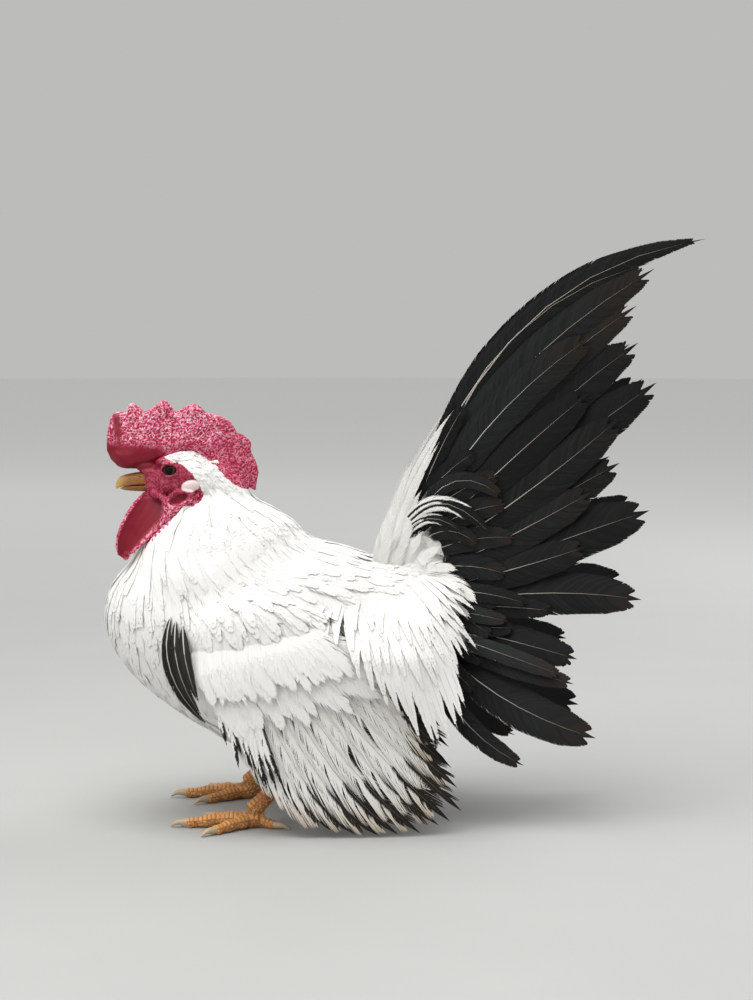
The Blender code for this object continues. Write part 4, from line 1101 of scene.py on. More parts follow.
def bill_clay(rows, tip, upper):
    """A mandible that is round outside and nearly flat where the two halves meet."""
    turns = np.linspace(0, 2 * np.pi, 36, endpoint=False)
    up = np.sin(turns) if upper else -np.sin(turns)
    rise = np.where(up > 0, 0.12 + 0.88 * abs(up) ** 0.85, 0.12 * (1 + up))
    rings = []
    for bill_x, high, low, half in more_rows(rows, 26):
        level = low + (high - low) * rise if upper else high - (high - low) * rise
        wide = half * np.sign(np.cos(turns)) * abs(np.cos(turns)) ** 0.85
        rings.append(np.column_stack((np.full(36, bill_x), wide, level)))
    start = (rows[0][0] + 1, 0, (rows[0][1] + rows[0][2]) / 2)
    return lofted(rings, start, tip)


def horn_piece(name, clay):
    """A piece of horn with its faces turned outward."""
    piece = thrown(name, [clay])
    bm = bmesh.new()
    bm.from_mesh(piece.data)
    bmesh.ops.recalc_face_normals(bm, faces=bm.faces)
    bm.to_mesh(piece.data)
    bm.free()
    return piece


upper = horn_piece("upper_horn", bill_clay(UPPER_BILL, (-164.9, 0, 191.6), True))
for side in SIDES.values():
    slit = lump(mirrored((-150.6, 4.7, 197.9), side), (1.9, 1.1, 0.55), (0, 12, 0))
    upper = merged(upper, thrown("slit", [slit]), "DIFFERENCE")
lower = horn_piece("lower_horn", bill_clay(LOWER_BILL, (-162.4, 0, 190.9), False))
for piece, node in ((upper, "beak_upper"), (lower, "beak_lower")):
    place_all(piece, to_frame(places_of(piece)))
    dressed(piece, beak_horn, "beak_horn", node)
print("beak from x:", BEAK_TIP_X)

# %% [markdown]
# The claws are curved cones of grey-brown horn that end in a blunt tip on the floor. A tube
# with falling radii does for them, and its underside is kept above the floor.

# %% Claws
CLAW_LENGTH, CLAW_RADIUS = 10.0, 2.3
for name, side in SIDES.items():
    for toe in TOES:
        _, _, end, ahead = toe_line(name, side, toe)
        line = [end - ahead * 2.5, end + ahead * 1.5 + (0, 0, 0.6), end + ahead * 6 + (0, 0, 0.5),
                end + ahead * CLAW_LENGTH]
        line[-1][2] = 0.7
        line[0][2] = max(line[0][2], CLAW_RADIUS)
        claw = horn_piece(f"horn_{name}_{toe}", tube(line, (2.2, 2.1, 1.5, 0.35), count=20))
        claw_places = places_of(claw)
        claw_places[:, 2] = np.maximum(claw_places[:, 2], 0.05)
        place_all(claw, to_frame(claw_places))
        dressed(claw, claw_horn, "claw_horn", f"claw_{name}_{toe}")
print("claws:", len(SIDES) * len(TOES))

# %% [markdown]
# Plumage. A feather is a shaft with many barbs on either side, and neighbouring barbs hold
# together in small locks. Here each lock is one thin closed blade of three edges, and so is
# the shaft. Locks that lie close make a smooth vane, and locks that bunch leave the splits and
# frayed edges of worn feathers. One way of building serves every feather on the bird.
# A painted attribute called feather holds: red = black pigment, green = how far along the
# feather, blue = chance, alpha = shaft.

# %% Plumage finishes
def plumage(name, light, grey, dark, worn, worn_from, roughness):
    """White and black feather, with a worn tip and a pale shaft."""
    made = Finish(name, Roughness=roughness, Specular_IOR_Level=0.15)
    ink, along, chance, shaft = made.painted("feather")
    streak = made.clouds(900.0, 2.0)
    white = made.mix(made.sums("MULTIPLY", chance, streak), light, grey)
    white = made.mix(made.spread(along, worn_from, 1.05), white, worn)
    black = made.mix(made.spread(chance, 0.2, 0.9), dark, tuple(c * 2.2 + 0.003 for c in dark))
    browned = made.sums("MULTIPLY", made.spread(along, 0.72, 1.0), made.spread(chance, 0.3, 0.8))
    black = made.mix(browned, black, (0.019, 0.012, 0.008))
    inked = made.sums("ADD", ink, made.sums("MULTIPLY", streak, 0.3))
    vane = made.mix(made.spread(inked, 0.45, 0.85), white, black)
    quill = made.mix(made.spread(along, 0.1, 0.9), (0.74, 0.71, 0.64), (0.22, 0.18, 0.14))
    made.colour(made.mix(shaft, vane, quill))
    return made.material


white_plumage = plumage("white_plumage", (0.86, 0.853, 0.833), (0.80, 0.79, 0.755), (0.012, 0.011, 0.010),
                        (0.82, 0.80, 0.76), 0.8, 0.7)
wing_plumage = plumage("wing_plumage", (0.84, 0.83, 0.80), (0.72, 0.71, 0.66), (0.014, 0.012, 0.010),
                       (0.46, 0.34, 0.20), 0.68, 0.65)
tail_plumage = plumage("tail_plumage", (0.90, 0.89, 0.86), (0.60, 0.59, 0.56), (0.0042, 0.0048, 0.0048),
                       (0.80, 0.78, 0.73), 0.8, 0.5)
print("plumage finishes:", [m.name for m in (white_plumage, wing_plumage, tail_plumage)])

# %% [markdown]
# Thousands of feathers would be slow as separate objects, so the blades of one part of the
# bird are gathered in a coat and become one mesh. Each lock also gets a patch 0.003 across in a
# map called OFBake, at its root's place on an unrolled skin, so that a bake keeps its colours
# apart from its neighbours'.

# %% Blades and coats
PATCH = 0.003


def blade_triangles(body):
    """Triangles of one closed blade with this many rings of three and a point."""
    faces = [(0, 2, 1)]
    for k in range(body - 1):
        left, top, right = 3 * k, 3 * k + 1, 3 * k + 2
        for one, two in ((left, top), (top, right), (right, left)):
            faces += [(one, two, two + 3), (one, two + 3, one + 3)]
    left, top, right, point = 3 * body - 3, 3 * body - 2, 3 * body - 1, 3 * body
    return np.array(faces + [(left, top, point), (top, right, point), (right, left, point)])


class Coat:
    """Blades gathered for one piece: places, colours and the bake map."""

    def __init__(self, name):
        self.name = name
        self.places, self.tints, self.spots, self.faces = [], [], [], []
        self.filled = 0

    def add(self, middle, across, ridge, tint, root_spot, crosswise):
        """Adds blades; arrays run over blades, then stations, and the last station is the point."""
        blades, stations, _ = middle.shape
        body = stations - 1
        size = body * 3 + 1
        rings = np.stack((middle - across, middle + ridge, middle + across), axis=2)[:, :body]
        places = np.concatenate((rings.reshape(blades, body * 3, 3), middle[:, -1:]), axis=1)
        which = np.append(np.repeat(np.arange(body), 3), body)
        spots = np.stack((root_spot[:, None, 0] + PATCH * 0.45 * crosswise[:, which],
                          root_spot[:, None, 1] + PATCH * (tint[:, which, 1] - 0.5)), axis=2)
        first = self.filled + np.arange(blades) * size
        self.faces.append((blade_triangles(body)[None] + first[:, None, None]).reshape(-1, 3))
        self.places.append(places.reshape(-1, 3))
        self.tints.append(tint[:, which].reshape(-1, 4))
        self.spots.append(spots.reshape(-1, 2))
        self.filled += blades * size

    def sewn(self, material, slot, *replaced):
        """The finished piece on the frame."""
        places, faces = to_frame(np.vstack(self.places)), np.vstack(self.faces)
        mesh = bpy.data.meshes.new(self.name)
        mesh.vertices.add(len(places))
        mesh.vertices.foreach_set("co", places.astype(np.float32).ravel())
        mesh.loops.add(faces.size)
        mesh.loops.foreach_set("vertex_index", faces.astype(np.int32).ravel())
        mesh.polygons.add(len(faces))
        mesh.polygons.foreach_set("loop_start", np.arange(0, faces.size, 3, dtype=np.int32))
        mesh.polygons.foreach_set("use_smooth", np.zeros(len(faces), bool))
        mesh.update(calc_edges=True)
        feather_paint = mesh.attributes.new("feather", "FLOAT_COLOR", "POINT")
        feather_paint.data.foreach_set("color", np.vstack(self.tints).astype(np.float32).ravel())
        bake_map = mesh.uv_layers.new(name="OFBake")
        spots = np.clip(np.vstack(self.spots), 0.0, 1.0)
        bake_map.data.foreach_set("uv", spots[faces.ravel()].astype(np.float32).ravel())
        mesh.materials.append(material)
        piece = linked(self.name, mesh)
        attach(piece, "root")
        if replaced:
            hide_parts(*replaced)
        print(self.name, "triangles:", len(faces))


print("bake patch:", PATCH, "triangles of a plain blade:", len(blade_triangles(2)))

# %% [markdown]
# A shaft bends with the body below it. A rail is such a line in even steps, and gives a place
# and three directions for any distance along it. Barbs, shaft and feather middle all use it.

# %% Rails
class Rail:
    """The line of a shaft, evenly stepped, with its directions ahead, sideways and up."""

    def __init__(self, points, outward, lean=0.0, steps=16):
        gone = np.append(0, np.cumsum(np.linalg.norm(np.diff(points, axis=0), axis=1)))
        even = np.linspace(0, gone[-1], steps)
        self.length = gone[-1]
        self.steps = steps
        line = np.column_stack([np.interp(even, gone, points[:, axis]) for axis in range(3)])
        up = np.column_stack([np.interp(even, gone, outward[:, axis]) for axis in range(3)])
        ahead = unit(np.gradient(line, axis=0))
        side = unit(np.cross(ahead, up))
        up = np.cross(side, ahead)
        side = unit(side + up * lean)
        self.table = np.hstack((line, ahead, side, np.cross(side, ahead)))

    def at(self, gone):
        """Place and the three directions at distances along the shaft."""
        place = np.clip(gone / self.length, 0, 1) * (self.steps - 1)
        low = np.minimum(place.astype(int), self.steps - 2)
        row = self.table[low] + (self.table[low + 1] - self.table[low]) * (place - low)[..., None]
        return row[..., :3], row[..., 3:6], row[..., 6:9], row[..., 9:]


straight = Rail(np.array(((0.0, 0, 0), (10, 0, 0))), np.array(((0.0, 0, 1), (0, 0, 1))))
print("a straight rail of length:", straight.length)

# %% [markdown]
# A feather's style says how its vane is made: its outline, how far apart the barbs' tips are,
# how far they sweep toward the feather's tip, how much they fray and bunch, and the shaft.
# An ink says where a feather is black, from places along and across it.

# %% Styles and inks
ROUND = ((0, 0.12, 0.38, 0.62, 0.84, 0.94, 0.985, 1), (0.10, 0.5, 0.9, 1.0, 0.86, 0.58, 0.28, 0.03))
LEAF = ((0, 0.2, 0.5, 0.75, 0.90, 1), (0.15, 0.65, 1.0, 0.88, 0.5, 0.02))
POINTED = ((0, 0.2, 0.45, 0.7, 0.88, 1), (0.15, 0.7, 1.0, 0.78, 0.38, 0.02))
PLAIN_STYLE = {
    "outline": ROUND, "spacing": 1.6, "sweep": 1.4, "fray": 0.08, "clump": 0.15, "clump_size": 6,
    "stations": (0, 0.6, 1), "ridge": 0.08, "cover": 0.80, "cup": 0.08, "shaft": 0.35, "bare": 0.02,
    "taper": 0.25,
}


def style(**changes):
    """The plain style with some of its measures changed."""
    return {**PLAIN_STYLE, **changes}


def no_ink(along, across, chance):
    """A feather that is white all over."""
    return np.zeros_like(along)


def full_ink(along, across, chance):
    """A feather that is black all over."""
    return np.ones_like(along)


print("styles start from:", sorted(PLAIN_STYLE))

# %% [markdown]
# One feather. Barbs leave the shaft at a slant and bend toward the tip. Each lock is as wide as
# the gap to its neighbour, so the vane closes whatever its outline is. Short locks near the tip
# get thinner. A blade down the middle fills the notch between the last barbs, and the shaft
# lies on top of it.

# %% One feather
def lock_line(roots, tips, reach, t):
    """Where locks run, along the shaft and out from it, and the way they head."""
    long, wide = (tips - roots)[:, None], reach[:, None]
    along = roots[:, None] + long * (0.6 * t + 0.4 * t * t)
    return along, wide * (1.35 * t - 0.35 * t * t), long * (0.6 + 0.8 * t), wide * (1.35 - 0.7 * t)


def lock_gaps(roots, tips, reach, t):
    """The distance from each lock to the next, square to the lock."""
    along, out, d_along, d_out = lock_line(roots, tips, reach, t)
    apart = np.gradient(along, axis=0) * d_out - np.gradient(out, axis=0) * d_along
    return np.abs(apart) / (np.hypot(d_along, d_out) + 1e-6)


def add_feather(coat, rail, half, how, ink, spot_of):
    """Adds one feather along a rail, with each lock's patch of the bake map at its root."""
    length = rail.length
    t = np.array(how["stations"])
    count = max(3, int(length * (1 - how["bare"]) / how["spacing"]))
    mood = draws.random()
    for way in (-1, 1):
        tips = np.linspace(how["bare"] * length, length * 0.97, count)
        reach = half * np.interp(tips / length, *how["outline"])
        roots = np.maximum(tips - how["sweep"] * reach, 0.01 * length)
        # Locks shorter than 2.5 mm get thinner.
        whole = np.clip((tips - roots) / 2.5, 0.15, 1)[:, None]
        wide = np.maximum(how["cover"] * lock_gaps(roots, tips, reach, t), 0.12) * whole
        wide *= 1 - how["taper"] * t**3
        # Tips stray and fray, and bunches of locks draw together.
        tips += draws.normal(0, 0.15 * how["spacing"], count)
        reach *= 1 - how["fray"] * draws.random(count) ** 2
        bunch = np.cumsum(draws.random(count) < 1 / how["clump_size"])
        centre = np.bincount(bunch, tips) / np.maximum(np.bincount(bunch), 1)
        pull = how["clump"] * draws.random(len(centre)) ** 0.5
        tips += (centre[bunch] - tips) * pull[bunch] * np.minimum(1, 0.3 + tips / length)
        gone, out, d_gone, d_out = lock_line(roots, tips, way * reach, t)
        norm = np.hypot(d_gone, d_out) + 1e-6
        place, ahead, side, up = rail.at(gone)
        bow = -how["cup"] * half * (out / half) ** 2 + 0.12 * draws.random((count, 1)) * t
        middle = place + side * out[..., None] + up * bow[..., None]
        across = (ahead * (-d_out / norm)[..., None] + side * (d_gone / norm)[..., None]) * wide[..., None]
        ridge = up * (how["ridge"] * (1 - 0.5 * t) * whole)[..., None]
        chance = np.clip(0.6 * mood + 0.4 * draws.random((count, 1)) + 0 * gone, 0, 1)
        tint = np.stack((ink(gone / length, out / half, chance), gone / length, chance, 0 * gone), axis=2)
        coat.add(middle, across, ridge, tint, spot_of(place[:, 0]), out / half)
    # The blade down the middle.
    gone = np.array((0.02, 0.3, 0.6, 0.82, 0.93, 1))[None] * length
    place, ahead, side, up = rail.at(gone)
    core = 0.26 * half * np.interp(gone / length, *how["outline"])[..., None]
    tint = np.stack((ink(gone / length, 0 * gone, mood), gone / length, 0 * gone + mood, 0 * gone), axis=2)
    coat.add(place - up * 0.15, side * core, up * 0.06, tint, spot_of(place[:, 0]), 0 * gone)
    if how["shaft"]:
        gone = np.linspace(0, 0.96, 9)[None] * length
        place, ahead, side, up = rail.at(gone)
        thick = how["shaft"] * (1 - 0.8 * gone / length)[..., None]
        tint = np.stack((0 * gone, gone / length, 0 * gone + mood, 0 * gone + 1), axis=2)
        coat.add(place + up * 0.1, side * thick, up * thick * 1.5, tint, spot_of(place[:, 0]), 0 * gone)


print("locks on a 30 mm feather:", 2 * int(30 / PLAIN_STYLE["spacing"]))

# %% [markdown]
# The lie of the coat. On the breast feathers point down, on the back toward the tail, and on
# the neck they fan out from the head over the shoulders. Combing by hand would give the same,
# but a rule for the heading at any place can be changed and run again.

# %% The lie of the coat
def soft_step(value, low, high):
    """Like ramp, for one number."""
    t = min(1.0, max(0.0, (value - low) / (high - low)))
    return t * t * (3 - 2 * t)


def lie(place, normal):
    """The way that feathers point at a place on the body."""
    px, py, pz = place
    breast = 1 - soft_step(px, -165, -95)
    below = 1 - soft_step(pz, 50, 110)
    heading = Vector((1.0 - 0.75 * breast, 0.0, -0.35 - 0.75 * breast + 0.25 * below))
    shoulder = soft_step(abs(py), 28, 46) * (1 - soft_step(px, -30, 10)) * (1 - soft_step(pz, 140, 160))
    heading = heading.lerp(Vector((0.3 + 0.7 * soft_step(px, -115, -25), 0, -1)), shoulder)
    thigh = (1 - soft_step(pz, 44, 64)) * soft_step(abs(py), 12, 24)
    heading = heading.lerp(Vector((0.25, 0, -1)), thigh)
    high = soft_step(pz, 148, 176)
    fan = Vector((px + 112, py * 1.6, 0))
    fan.normalize()
    heading = heading.lerp(fan * 0.6 + Vector((0.15, 0, -0.8)), high)
    if pz > 186:
        brow_drop = -0.1 - 0.9 * (1 - soft_step(pz, 188, 204))
        crown = Vector((0.8, 0, -0.75)) if px > -120 else Vector((1.0, 0, brow_drop))
        heading = heading.lerp(crown, soft_step(pz, 186, 196))
    heading -= normal * heading.dot(normal)
    return heading.normalized()


print("on the back feathers point along:", lie(Vector((-60, 0, 130)), Vector((0, 0, 1)))[:])

# %% [markdown]
# A body feather starts on the skin and follows it in short steps, rising a little toward its
# tip, so that each lies over the next.

# %% Laying a feather
def laid(root, length, rise, stray=0.0, steps=5):
    """A rail that starts on the skin and follows the lie of the coat."""
    near, normal, _, _ = bed.find_nearest(Vector(root))
    heading = lie(near, normal)
    heading = (heading + heading.cross(normal) * stray).normalized()
    points, outward = [], []
    for k in range(steps + 1):
        share = k / steps
        points.append(near + normal * (rise[0] + (rise[1] - rise[0]) * share**0.8))
        outward.append(normal)
        ahead_of = near + heading * (length / steps)
        near, fresh, _, _ = bed.find_nearest(ahead_of)
        normal = normal.lerp(fresh, 0.6).normalized()
        heading = heading.lerp(lie(near, normal), 0.35)
        heading = (heading - normal * heading.dot(normal)).normalized()
    return Rail(np.array(points), np.array(outward), steps=8)


print("rail on the breast, length:", round(float(laid((-165, 0, 110), 30, (0.1, 2.2)).length), 1))

# %% [markdown]
# Feathers grow in even rows, never two from one spot. So roots are drawn at random over the
# skin's triangles, by their area, and a root too near another is dropped.

# %% Roots on the skin
skin.data.calc_loop_triangles()
triangles = numbers(skin.data.loop_triangles, "vertices", 3, np.int32)
plumed = ~(on_head | on_leg)
triangles = triangles[plumed[triangles].all(axis=1)]
corner_a, corner_b, corner_c = (skin_places[triangles[:, k]] for k in range(3))
areas = np.linalg.norm(np.cross(corner_b - corner_a, corner_c - corner_a), axis=1) / 2


def scattered(region, apart):
    """Roots spread evenly over a region of the skin, none nearer than a distance."""
    inside = region(*((corner_a + corner_b + corner_c) / 3).T)
    chosen = np.flatnonzero(inside)
    total = areas[chosen].sum()
    tries = int(total / apart**2 * 5)
    pick = draws.choice(chosen, tries, p=areas[chosen] / total)
    u, v = draws.random((2, tries))
    flip = u + v > 1
    u, v = np.where(flip, 1 - u, u)[:, None], np.where(flip, 1 - v, v)[:, None]
    places = corner_a[pick] + (corner_b[pick] - corner_a[pick]) * u + (corner_c[pick] - corner_a[pick]) * v
    kept, cells = [], {}
    for place in places:
        cell = tuple((place // apart).astype(int))
        close = False
        for dx in (-1, 0, 1):
            for dy in (-1, 0, 1):
                for dz in (-1, 0, 1):
                    for other in cells.get((cell[0] + dx, cell[1] + dy, cell[2] + dz), ()):
                        close = close or ((place - other) ** 2).sum() < apart * apart
        if not close:
            cells.setdefault(cell, []).append(place)
            kept.append(place)
    return np.array(kept)


print("plumed skin in square mm:", round(float(areas.sum())))

# %% [markdown]
# For the bake map the skin is unrolled round an axis: the body round X and the neck round an
# upright line. A root's angle and its place along the axis say where its patch lies.

# %% Places on the bake map
def unrolled(turn, along):
    """A place of the bake map, kept clear of its edges."""
    return np.column_stack((0.03 + 0.94 * (turn / (2 * np.pi) + 0.5), 0.03 + 0.94 * along))


def body_spot(places):
    """Where roots lie on the body's skin, unrolled round the X axis."""
    x, y, z = places.T
    return unrolled(np.arctan2(y, z - 105), (x + 180) / 230)


def neck_spot(places):
    """Where roots lie on the neck's skin, unrolled round an upright axis."""
    x, y, z = places.T
    return unrolled(np.arctan2(y, -105 - x), (z - 130) / 90)


print("the tail's root lies at:", body_spot(np.array(((20.0, 0.0, 130.0),))).round(2))

# %% [markdown]
# The body coat. Soft leaf-shaped feathers with frayed tips cover breast, back, belly and
# shoulders. The cap and the upper neck have the smallest ones, and the thighs loose fluff.
# Each part of the body is a piece of its own, which keeps every mesh to a handy size.

# %% Body coat
CAP_STYLE = style(outline=LEAF, spacing=0.9, sweep=2.4, fray=0.3, clump=0.1, clump_size=2,
                  cover=0.7, ridge=0.05, shaft=0)
BODY_STYLE = style(outline=LEAF, sweep=2.8, clump_size=4, cup=0.04, ridge=0.06, shaft=0)
SOFT_STYLE = {**BODY_STYLE, "spacing": 1.45, "fray": 0.35, "clump": 0.15, "cover": 0.9}
LOOSE_STYLE = {**BODY_STYLE, "spacing": 1.7, "fray": 0.5, "clump": 0.3, "cover": 0.8}
HACKLE_STYLE = {**BODY_STYLE, "outline": POINTED, "spacing": 1.6, "sweep": 3.8, "fray": 0.2,
                "clump": 0.15, "cover": 0.9}
# A group: region of the skin, distance between roots, length, half width, rise at root and tip,
# style and bake map.
BODY_GROUPS = {
    "cap_feathers": (
        lambda x, y, z: (z > 184) & (x < -84) & ((x > -122) | (z > 208.5) | (abs(y) < 8)),
        1.8, 7, 1.5, (0.0, 0.5), CAP_STYLE, neck_spot),
    "breast_feathers": (
        lambda x, y, z: (z <= 160) & (x < -118),
        4.8, 30, 5.0, (0.1, 2.2), SOFT_STYLE, body_spot),
    "flank_feathers": (
        lambda x, y, z: (z <= 90) & (z > 60) & (x >= -118) & (x < -35) & (abs(y) > 25),
        6.4, 26, 6.0, (0.2, 3.2), SOFT_STYLE, body_spot),
    "shoulder_feathers": (
        lambda x, y, z: (z <= 154) & (z > 104) & (x >= -118) & (x < -10) & (abs(y) > 22),
        5.0, 38, 5.2, (0.6, 3.2), SOFT_STYLE, body_spot),
    "back_feathers": (
        lambda x, y, z: (z > 120) & (z < 176) & (x >= -100) & (x < 14) & (abs(y) <= 42),
        4.6, 32, 5.2, (0.1, 2.0), SOFT_STYLE, body_spot),
    "belly_feathers": (
        lambda x, y, z: (z <= 60) & (x >= -118) & (z > 42) | (z <= 120) & (x >= -35) | (x >= 10),
        5.8, 27, 6.4, (0.2, 4.2), LOOSE_STYLE, body_spot),
    "thigh_feathers": (
        lambda x, y, z: (z <= 42) & (z > 26),
        3.2, 12, 3.0, (0.1, 1.2), LOOSE_STYLE, body_spot),
    "upper_hackles": (
        lambda x, y, z: (z > 172) & (z <= 192),
        3.0, 26, 2.8, (0.1, 1.6), HACKLE_STYLE, neck_spot),
    "shoulder_hackles": (
        lambda x, y, z: (z > 146) & (z <= 172) & (x < -52),
        4.2, 46, 4.0, (0.2, 2.8), HACKLE_STYLE, neck_spot),
}

for name, (region, apart, length, half, rise, how, spot_of) in BODY_GROUPS.items():
    coat = Coat(name)
    for root in scattered(region, apart):
        size = draws.uniform(0.82, 1.12)
        rail = laid(root, length * size, rise, draws.normal(0, 0.08))
        add_feather(coat, rail, half * size, how, no_ink, spot_of)
    coat.sewn(white_plumage, "white_plumage")

# %% [markdown]
# The feathers of wing, saddle and tail lie on sheets beside the body, and are drawn as seen
# from the side: root, bend and tip, each as x and z, and a half width. Where feathers fan out,
# a few key feathers are enough, and the others are spread evenly between them.

# %% Feathers drawn from the side
def fanned(keys, count, stray=1.1):
    """Feathers spread evenly between key feathers, with tips that stray a little."""
    keys = np.array(keys, float)
    places = np.linspace(0, len(keys) - 1, count)
    rows = np.column_stack([np.interp(places, np.arange(len(keys)), column) for column in keys.T])
    rows[:, 4:6] += draws.uniform(-stray, stray, (count, 2))
    rows[:, 6] *= draws.uniform(0.94, 1.06, count)
    return rows


def side_rail(feather, plane, side, lift, lean, steps=22):
    """The rail of a feather drawn from the side, lifted from its plane as it leaves the root."""
    root, bend, tip = np.array(feather[:6], float).reshape(3, 2)
    t = np.linspace(0, 1, 2 * steps)[:, None]
    line = (1 - t) ** 2 * root + 2 * t * (1 - t) * bend + t * t * tip
    gone = np.append(0, np.cumsum(np.linalg.norm(np.diff(line, axis=0), axis=1)))
    x, z = line.T
    level = np.interp(gone, (0, lift[2]), lift[:2])
    out = plane(x, z) + level
    slope_x, slope_z = plane(x + 1, z) - plane(x, z), plane(x, z + 1) - plane(x, z)
    outward = unit(np.column_stack((-slope_x, np.full(len(x), side), -slope_z)))
    return Rail(np.column_stack((x, side * out, z)), outward, lean * side, steps)


def side_spot(places):
    """Where roots lie on a sheet seen from the side."""
    return np.column_stack((0.03 + 0.94 * (places[:, 0] + 150) / 330, 0.03 + 0.94 * places[:, 2] / 345))


print("a root at the tail lies at:", side_spot(np.array(((6.0, 0.0, 125.0),))).round(2))

# %% [markdown]
# The dropped wing. Its feathers lie in tiers, and the keys repeat those of the CAD wing. On
# each flight feather the front web is white and lies over the black rear web of the feather
# before it, so every split in the white shows black. Toward the tip the black takes more of
# the web, and the white is worn to brown.

# %% Wings
FLIGHT_KEYS = (
    (-104, 98, -93, 60, -74, 27, 5), (-100, 98, -84, 45, -61, 14, 7),
    (-95, 100, -74, 30, -45, 3, 9), (-88, 102, -60, 22, -27, 2, 9),
    (-80, 104, -44, 24, -8, 2, 9), (-72, 106, -30, 32, 11, 3, 9),
    (-64, 108, -18, 42, 26, 7, 9), (-56, 110, -10, 56, 34, 15, 9),
    (-50, 111, -8, 70, 27, 38, 9), (-46, 112, -10, 84, 15, 57, 8.5),
    (-44, 114, -14, 97, 0, 78, 8),
)
GREATER_KEYS = (
    (-110, 92, -103, 78, -93, 58, 5.5), (-97, 100, -90, 86, -77, 66, 7), (-84, 104, -74, 86, -60, 66, 8),
    (-68, 108, -54, 90, -36, 70, 8), (-54, 110, -38, 95, -14, 79, 8),
    (-46, 114, -28, 105, -8, 94, 7),
)
MEDIAN_KEYS = (
    (-116, 104, -111, 92, -104, 76, 6), (-96, 110, -89, 98, -79, 80, 7),
    (-72, 116, -62, 102, -50, 84, 7), (-54, 120, -40, 108, -28, 95, 7),
)
ALULA_KEYS = (
    (-122, 117, -120, 94, -112, 78, 3.8), (-126, 120, -128, 92, -109, 70, 4.0),
    (-129, 122, -137, 90, -107, 65, 3.8),
)
FRONT_KEYS = (
    (-104, 96, -102, 72, -96, 54, 2.6), (-98, 94, -96, 66, -88, 42, 2.8), (-90, 90, -86, 60, -76, 32, 3.0),
    (-84, 88, -78, 54, -66, 27, 3.0),
)
FLIGHT_STYLE = style(spacing=1.1, sweep=3.4, fray=0.15, clump=1.0, clump_size=9, cover=0.56, cup=0.05,
                     shaft=0.22, stations=(0, 0.5, 0.9, 1), taper=0.6)
COVERT_STYLE = style(outline=LEAF, spacing=1.1, sweep=3.0, fray=0.45, clump=0.5, clump_size=5, cover=0.7,
                     cup=0.05, shaft=0)
FRONT_STYLE = style(outline=POINTED, spacing=1.2, sweep=3.6, fray=0.15, clump=0.5, clump_size=5, cover=0.6,
                    cup=0.05, shaft=0)
ALULA_STYLE = style(outline=POINTED, spacing=1.2, sweep=2.6, fray=0.05, clump=0.1, clump_size=6, cover=0.8,
                    cup=0.10, shaft=0.4, ridge=0.12, bare=0.0)


def rear_ink(side):
    """Ink for a wing feather: the web behind the shaft is black, and more of it near the tip."""
    def ink(along, across, chance):
        edge = -0.02 - (0.2 + 0.4 * chance) * ramp(along, 0.6, 0.9)
        return ramp(across * side - edge, 0, 0.12) * ramp(along, 0.05, 0.15)
    return ink


# A tier: keys, count, style, how far tips stray, lift, how steeply the front edge is raised, ink.
WING_TIERS = {
    "flight_feathers": (FLIGHT_KEYS, 17, FLIGHT_STYLE, 1.4, (-5, -5, 10), 0.10, rear_ink),
    "front_feathers": (FRONT_KEYS, 12, FRONT_STYLE, 3.0, (-5, -2.6, 12), 0.10, rear_ink),
    "greater_coverts": (GREATER_KEYS, 24, COVERT_STYLE, 6.5, (-4, -2.2, 14), 0.06, lambda side: no_ink),
    "median_coverts": (MEDIAN_KEYS, 22, COVERT_STYLE, 6.0, (-3, 0.6, 14), 0.06, lambda side: no_ink),
    "alula_feathers": (ALULA_KEYS, 3, ALULA_STYLE, 1.1, (-2, 4.1, 14), 0.12, lambda side: full_ink),
}
for name, side in SIDES.items():
    for title, (keys, count, how, stray, lift, raised, ink) in WING_TIERS.items():
        coat = Coat(f"{title}_{name}")
        for feather in fanned(keys, count, stray):
            rail = side_rail(feather, wing_plane, side, lift, -raised)
            add_feather(coat, rail, feather[6], how, ink(side), side_spot)
        replaced = [f"wing_{name}"] if title == "flight_feathers" else []
        coat.sewn(wing_plumage if replaced else white_plumage, "white_plumage", *replaced)

# %% [markdown]
# The saddle. From the rear of the back, long pointed hackles hang over the wing's rear edge
# and the root of the tail. Each one narrows to a fine point, as they do on a cock.

# %% Saddle
SADDLE_KEYS = (
    (-22, 149, -34, 124, -27, 94, 4.2), (-14, 146, -16, 112, -2, 70, 4.6),
    (-8, 145, 0, 100, 15, 52, 5.0), (-3, 144, 18, 112, 35, 60, 5.4),
    (1, 142, 21, 122, 32, 92, 4.6), (5, 140, 25, 128, 42, 103, 4.2),
)
MIDDLE_SADDLE_KEYS = (
    (-30, 154, -44, 140, -42, 112, 4.6), (-16, 150, -18, 128, -8, 92, 4.6),
    (-8, 149, 4, 118, 18, 80, 4.6), (-2, 147, 18, 132, 32, 108, 4.2), (3, 146, 22, 140, 41, 122, 4.0),
)
UPPER_SADDLE_KEYS = (
    (-38, 158, -50, 152, -52, 126, 4.6), (-14, 152, -22, 138, -14, 112, 4.6),
    (-6, 150, 6, 132, 16, 102, 4.4), (-1, 149, 16, 142, 31, 122, 4.0), (3, 148, 20, 150, 40, 137, 3.6),
)
SADDLE_STYLE = style(outline=POINTED, spacing=1.7, sweep=4.2, fray=0.12, clump=0.2, clump_size=5, cover=0.9,
                     cup=0.06, shaft=0.12, stations=(0, 0.5, 0.9, 1))


def saddle_plane(x, z):
    """How far out the saddle hangs: from the back over the wing's rear edge."""
    drop = ramp(-z, -160, -98)
    tuck = 18 * (np.maximum(0, x) / 40) ** 2 * ramp(z, 60, 110)
    return 12 + drop * (wing_plane(x, np.minimum(z, 108)) - 10) - tuck


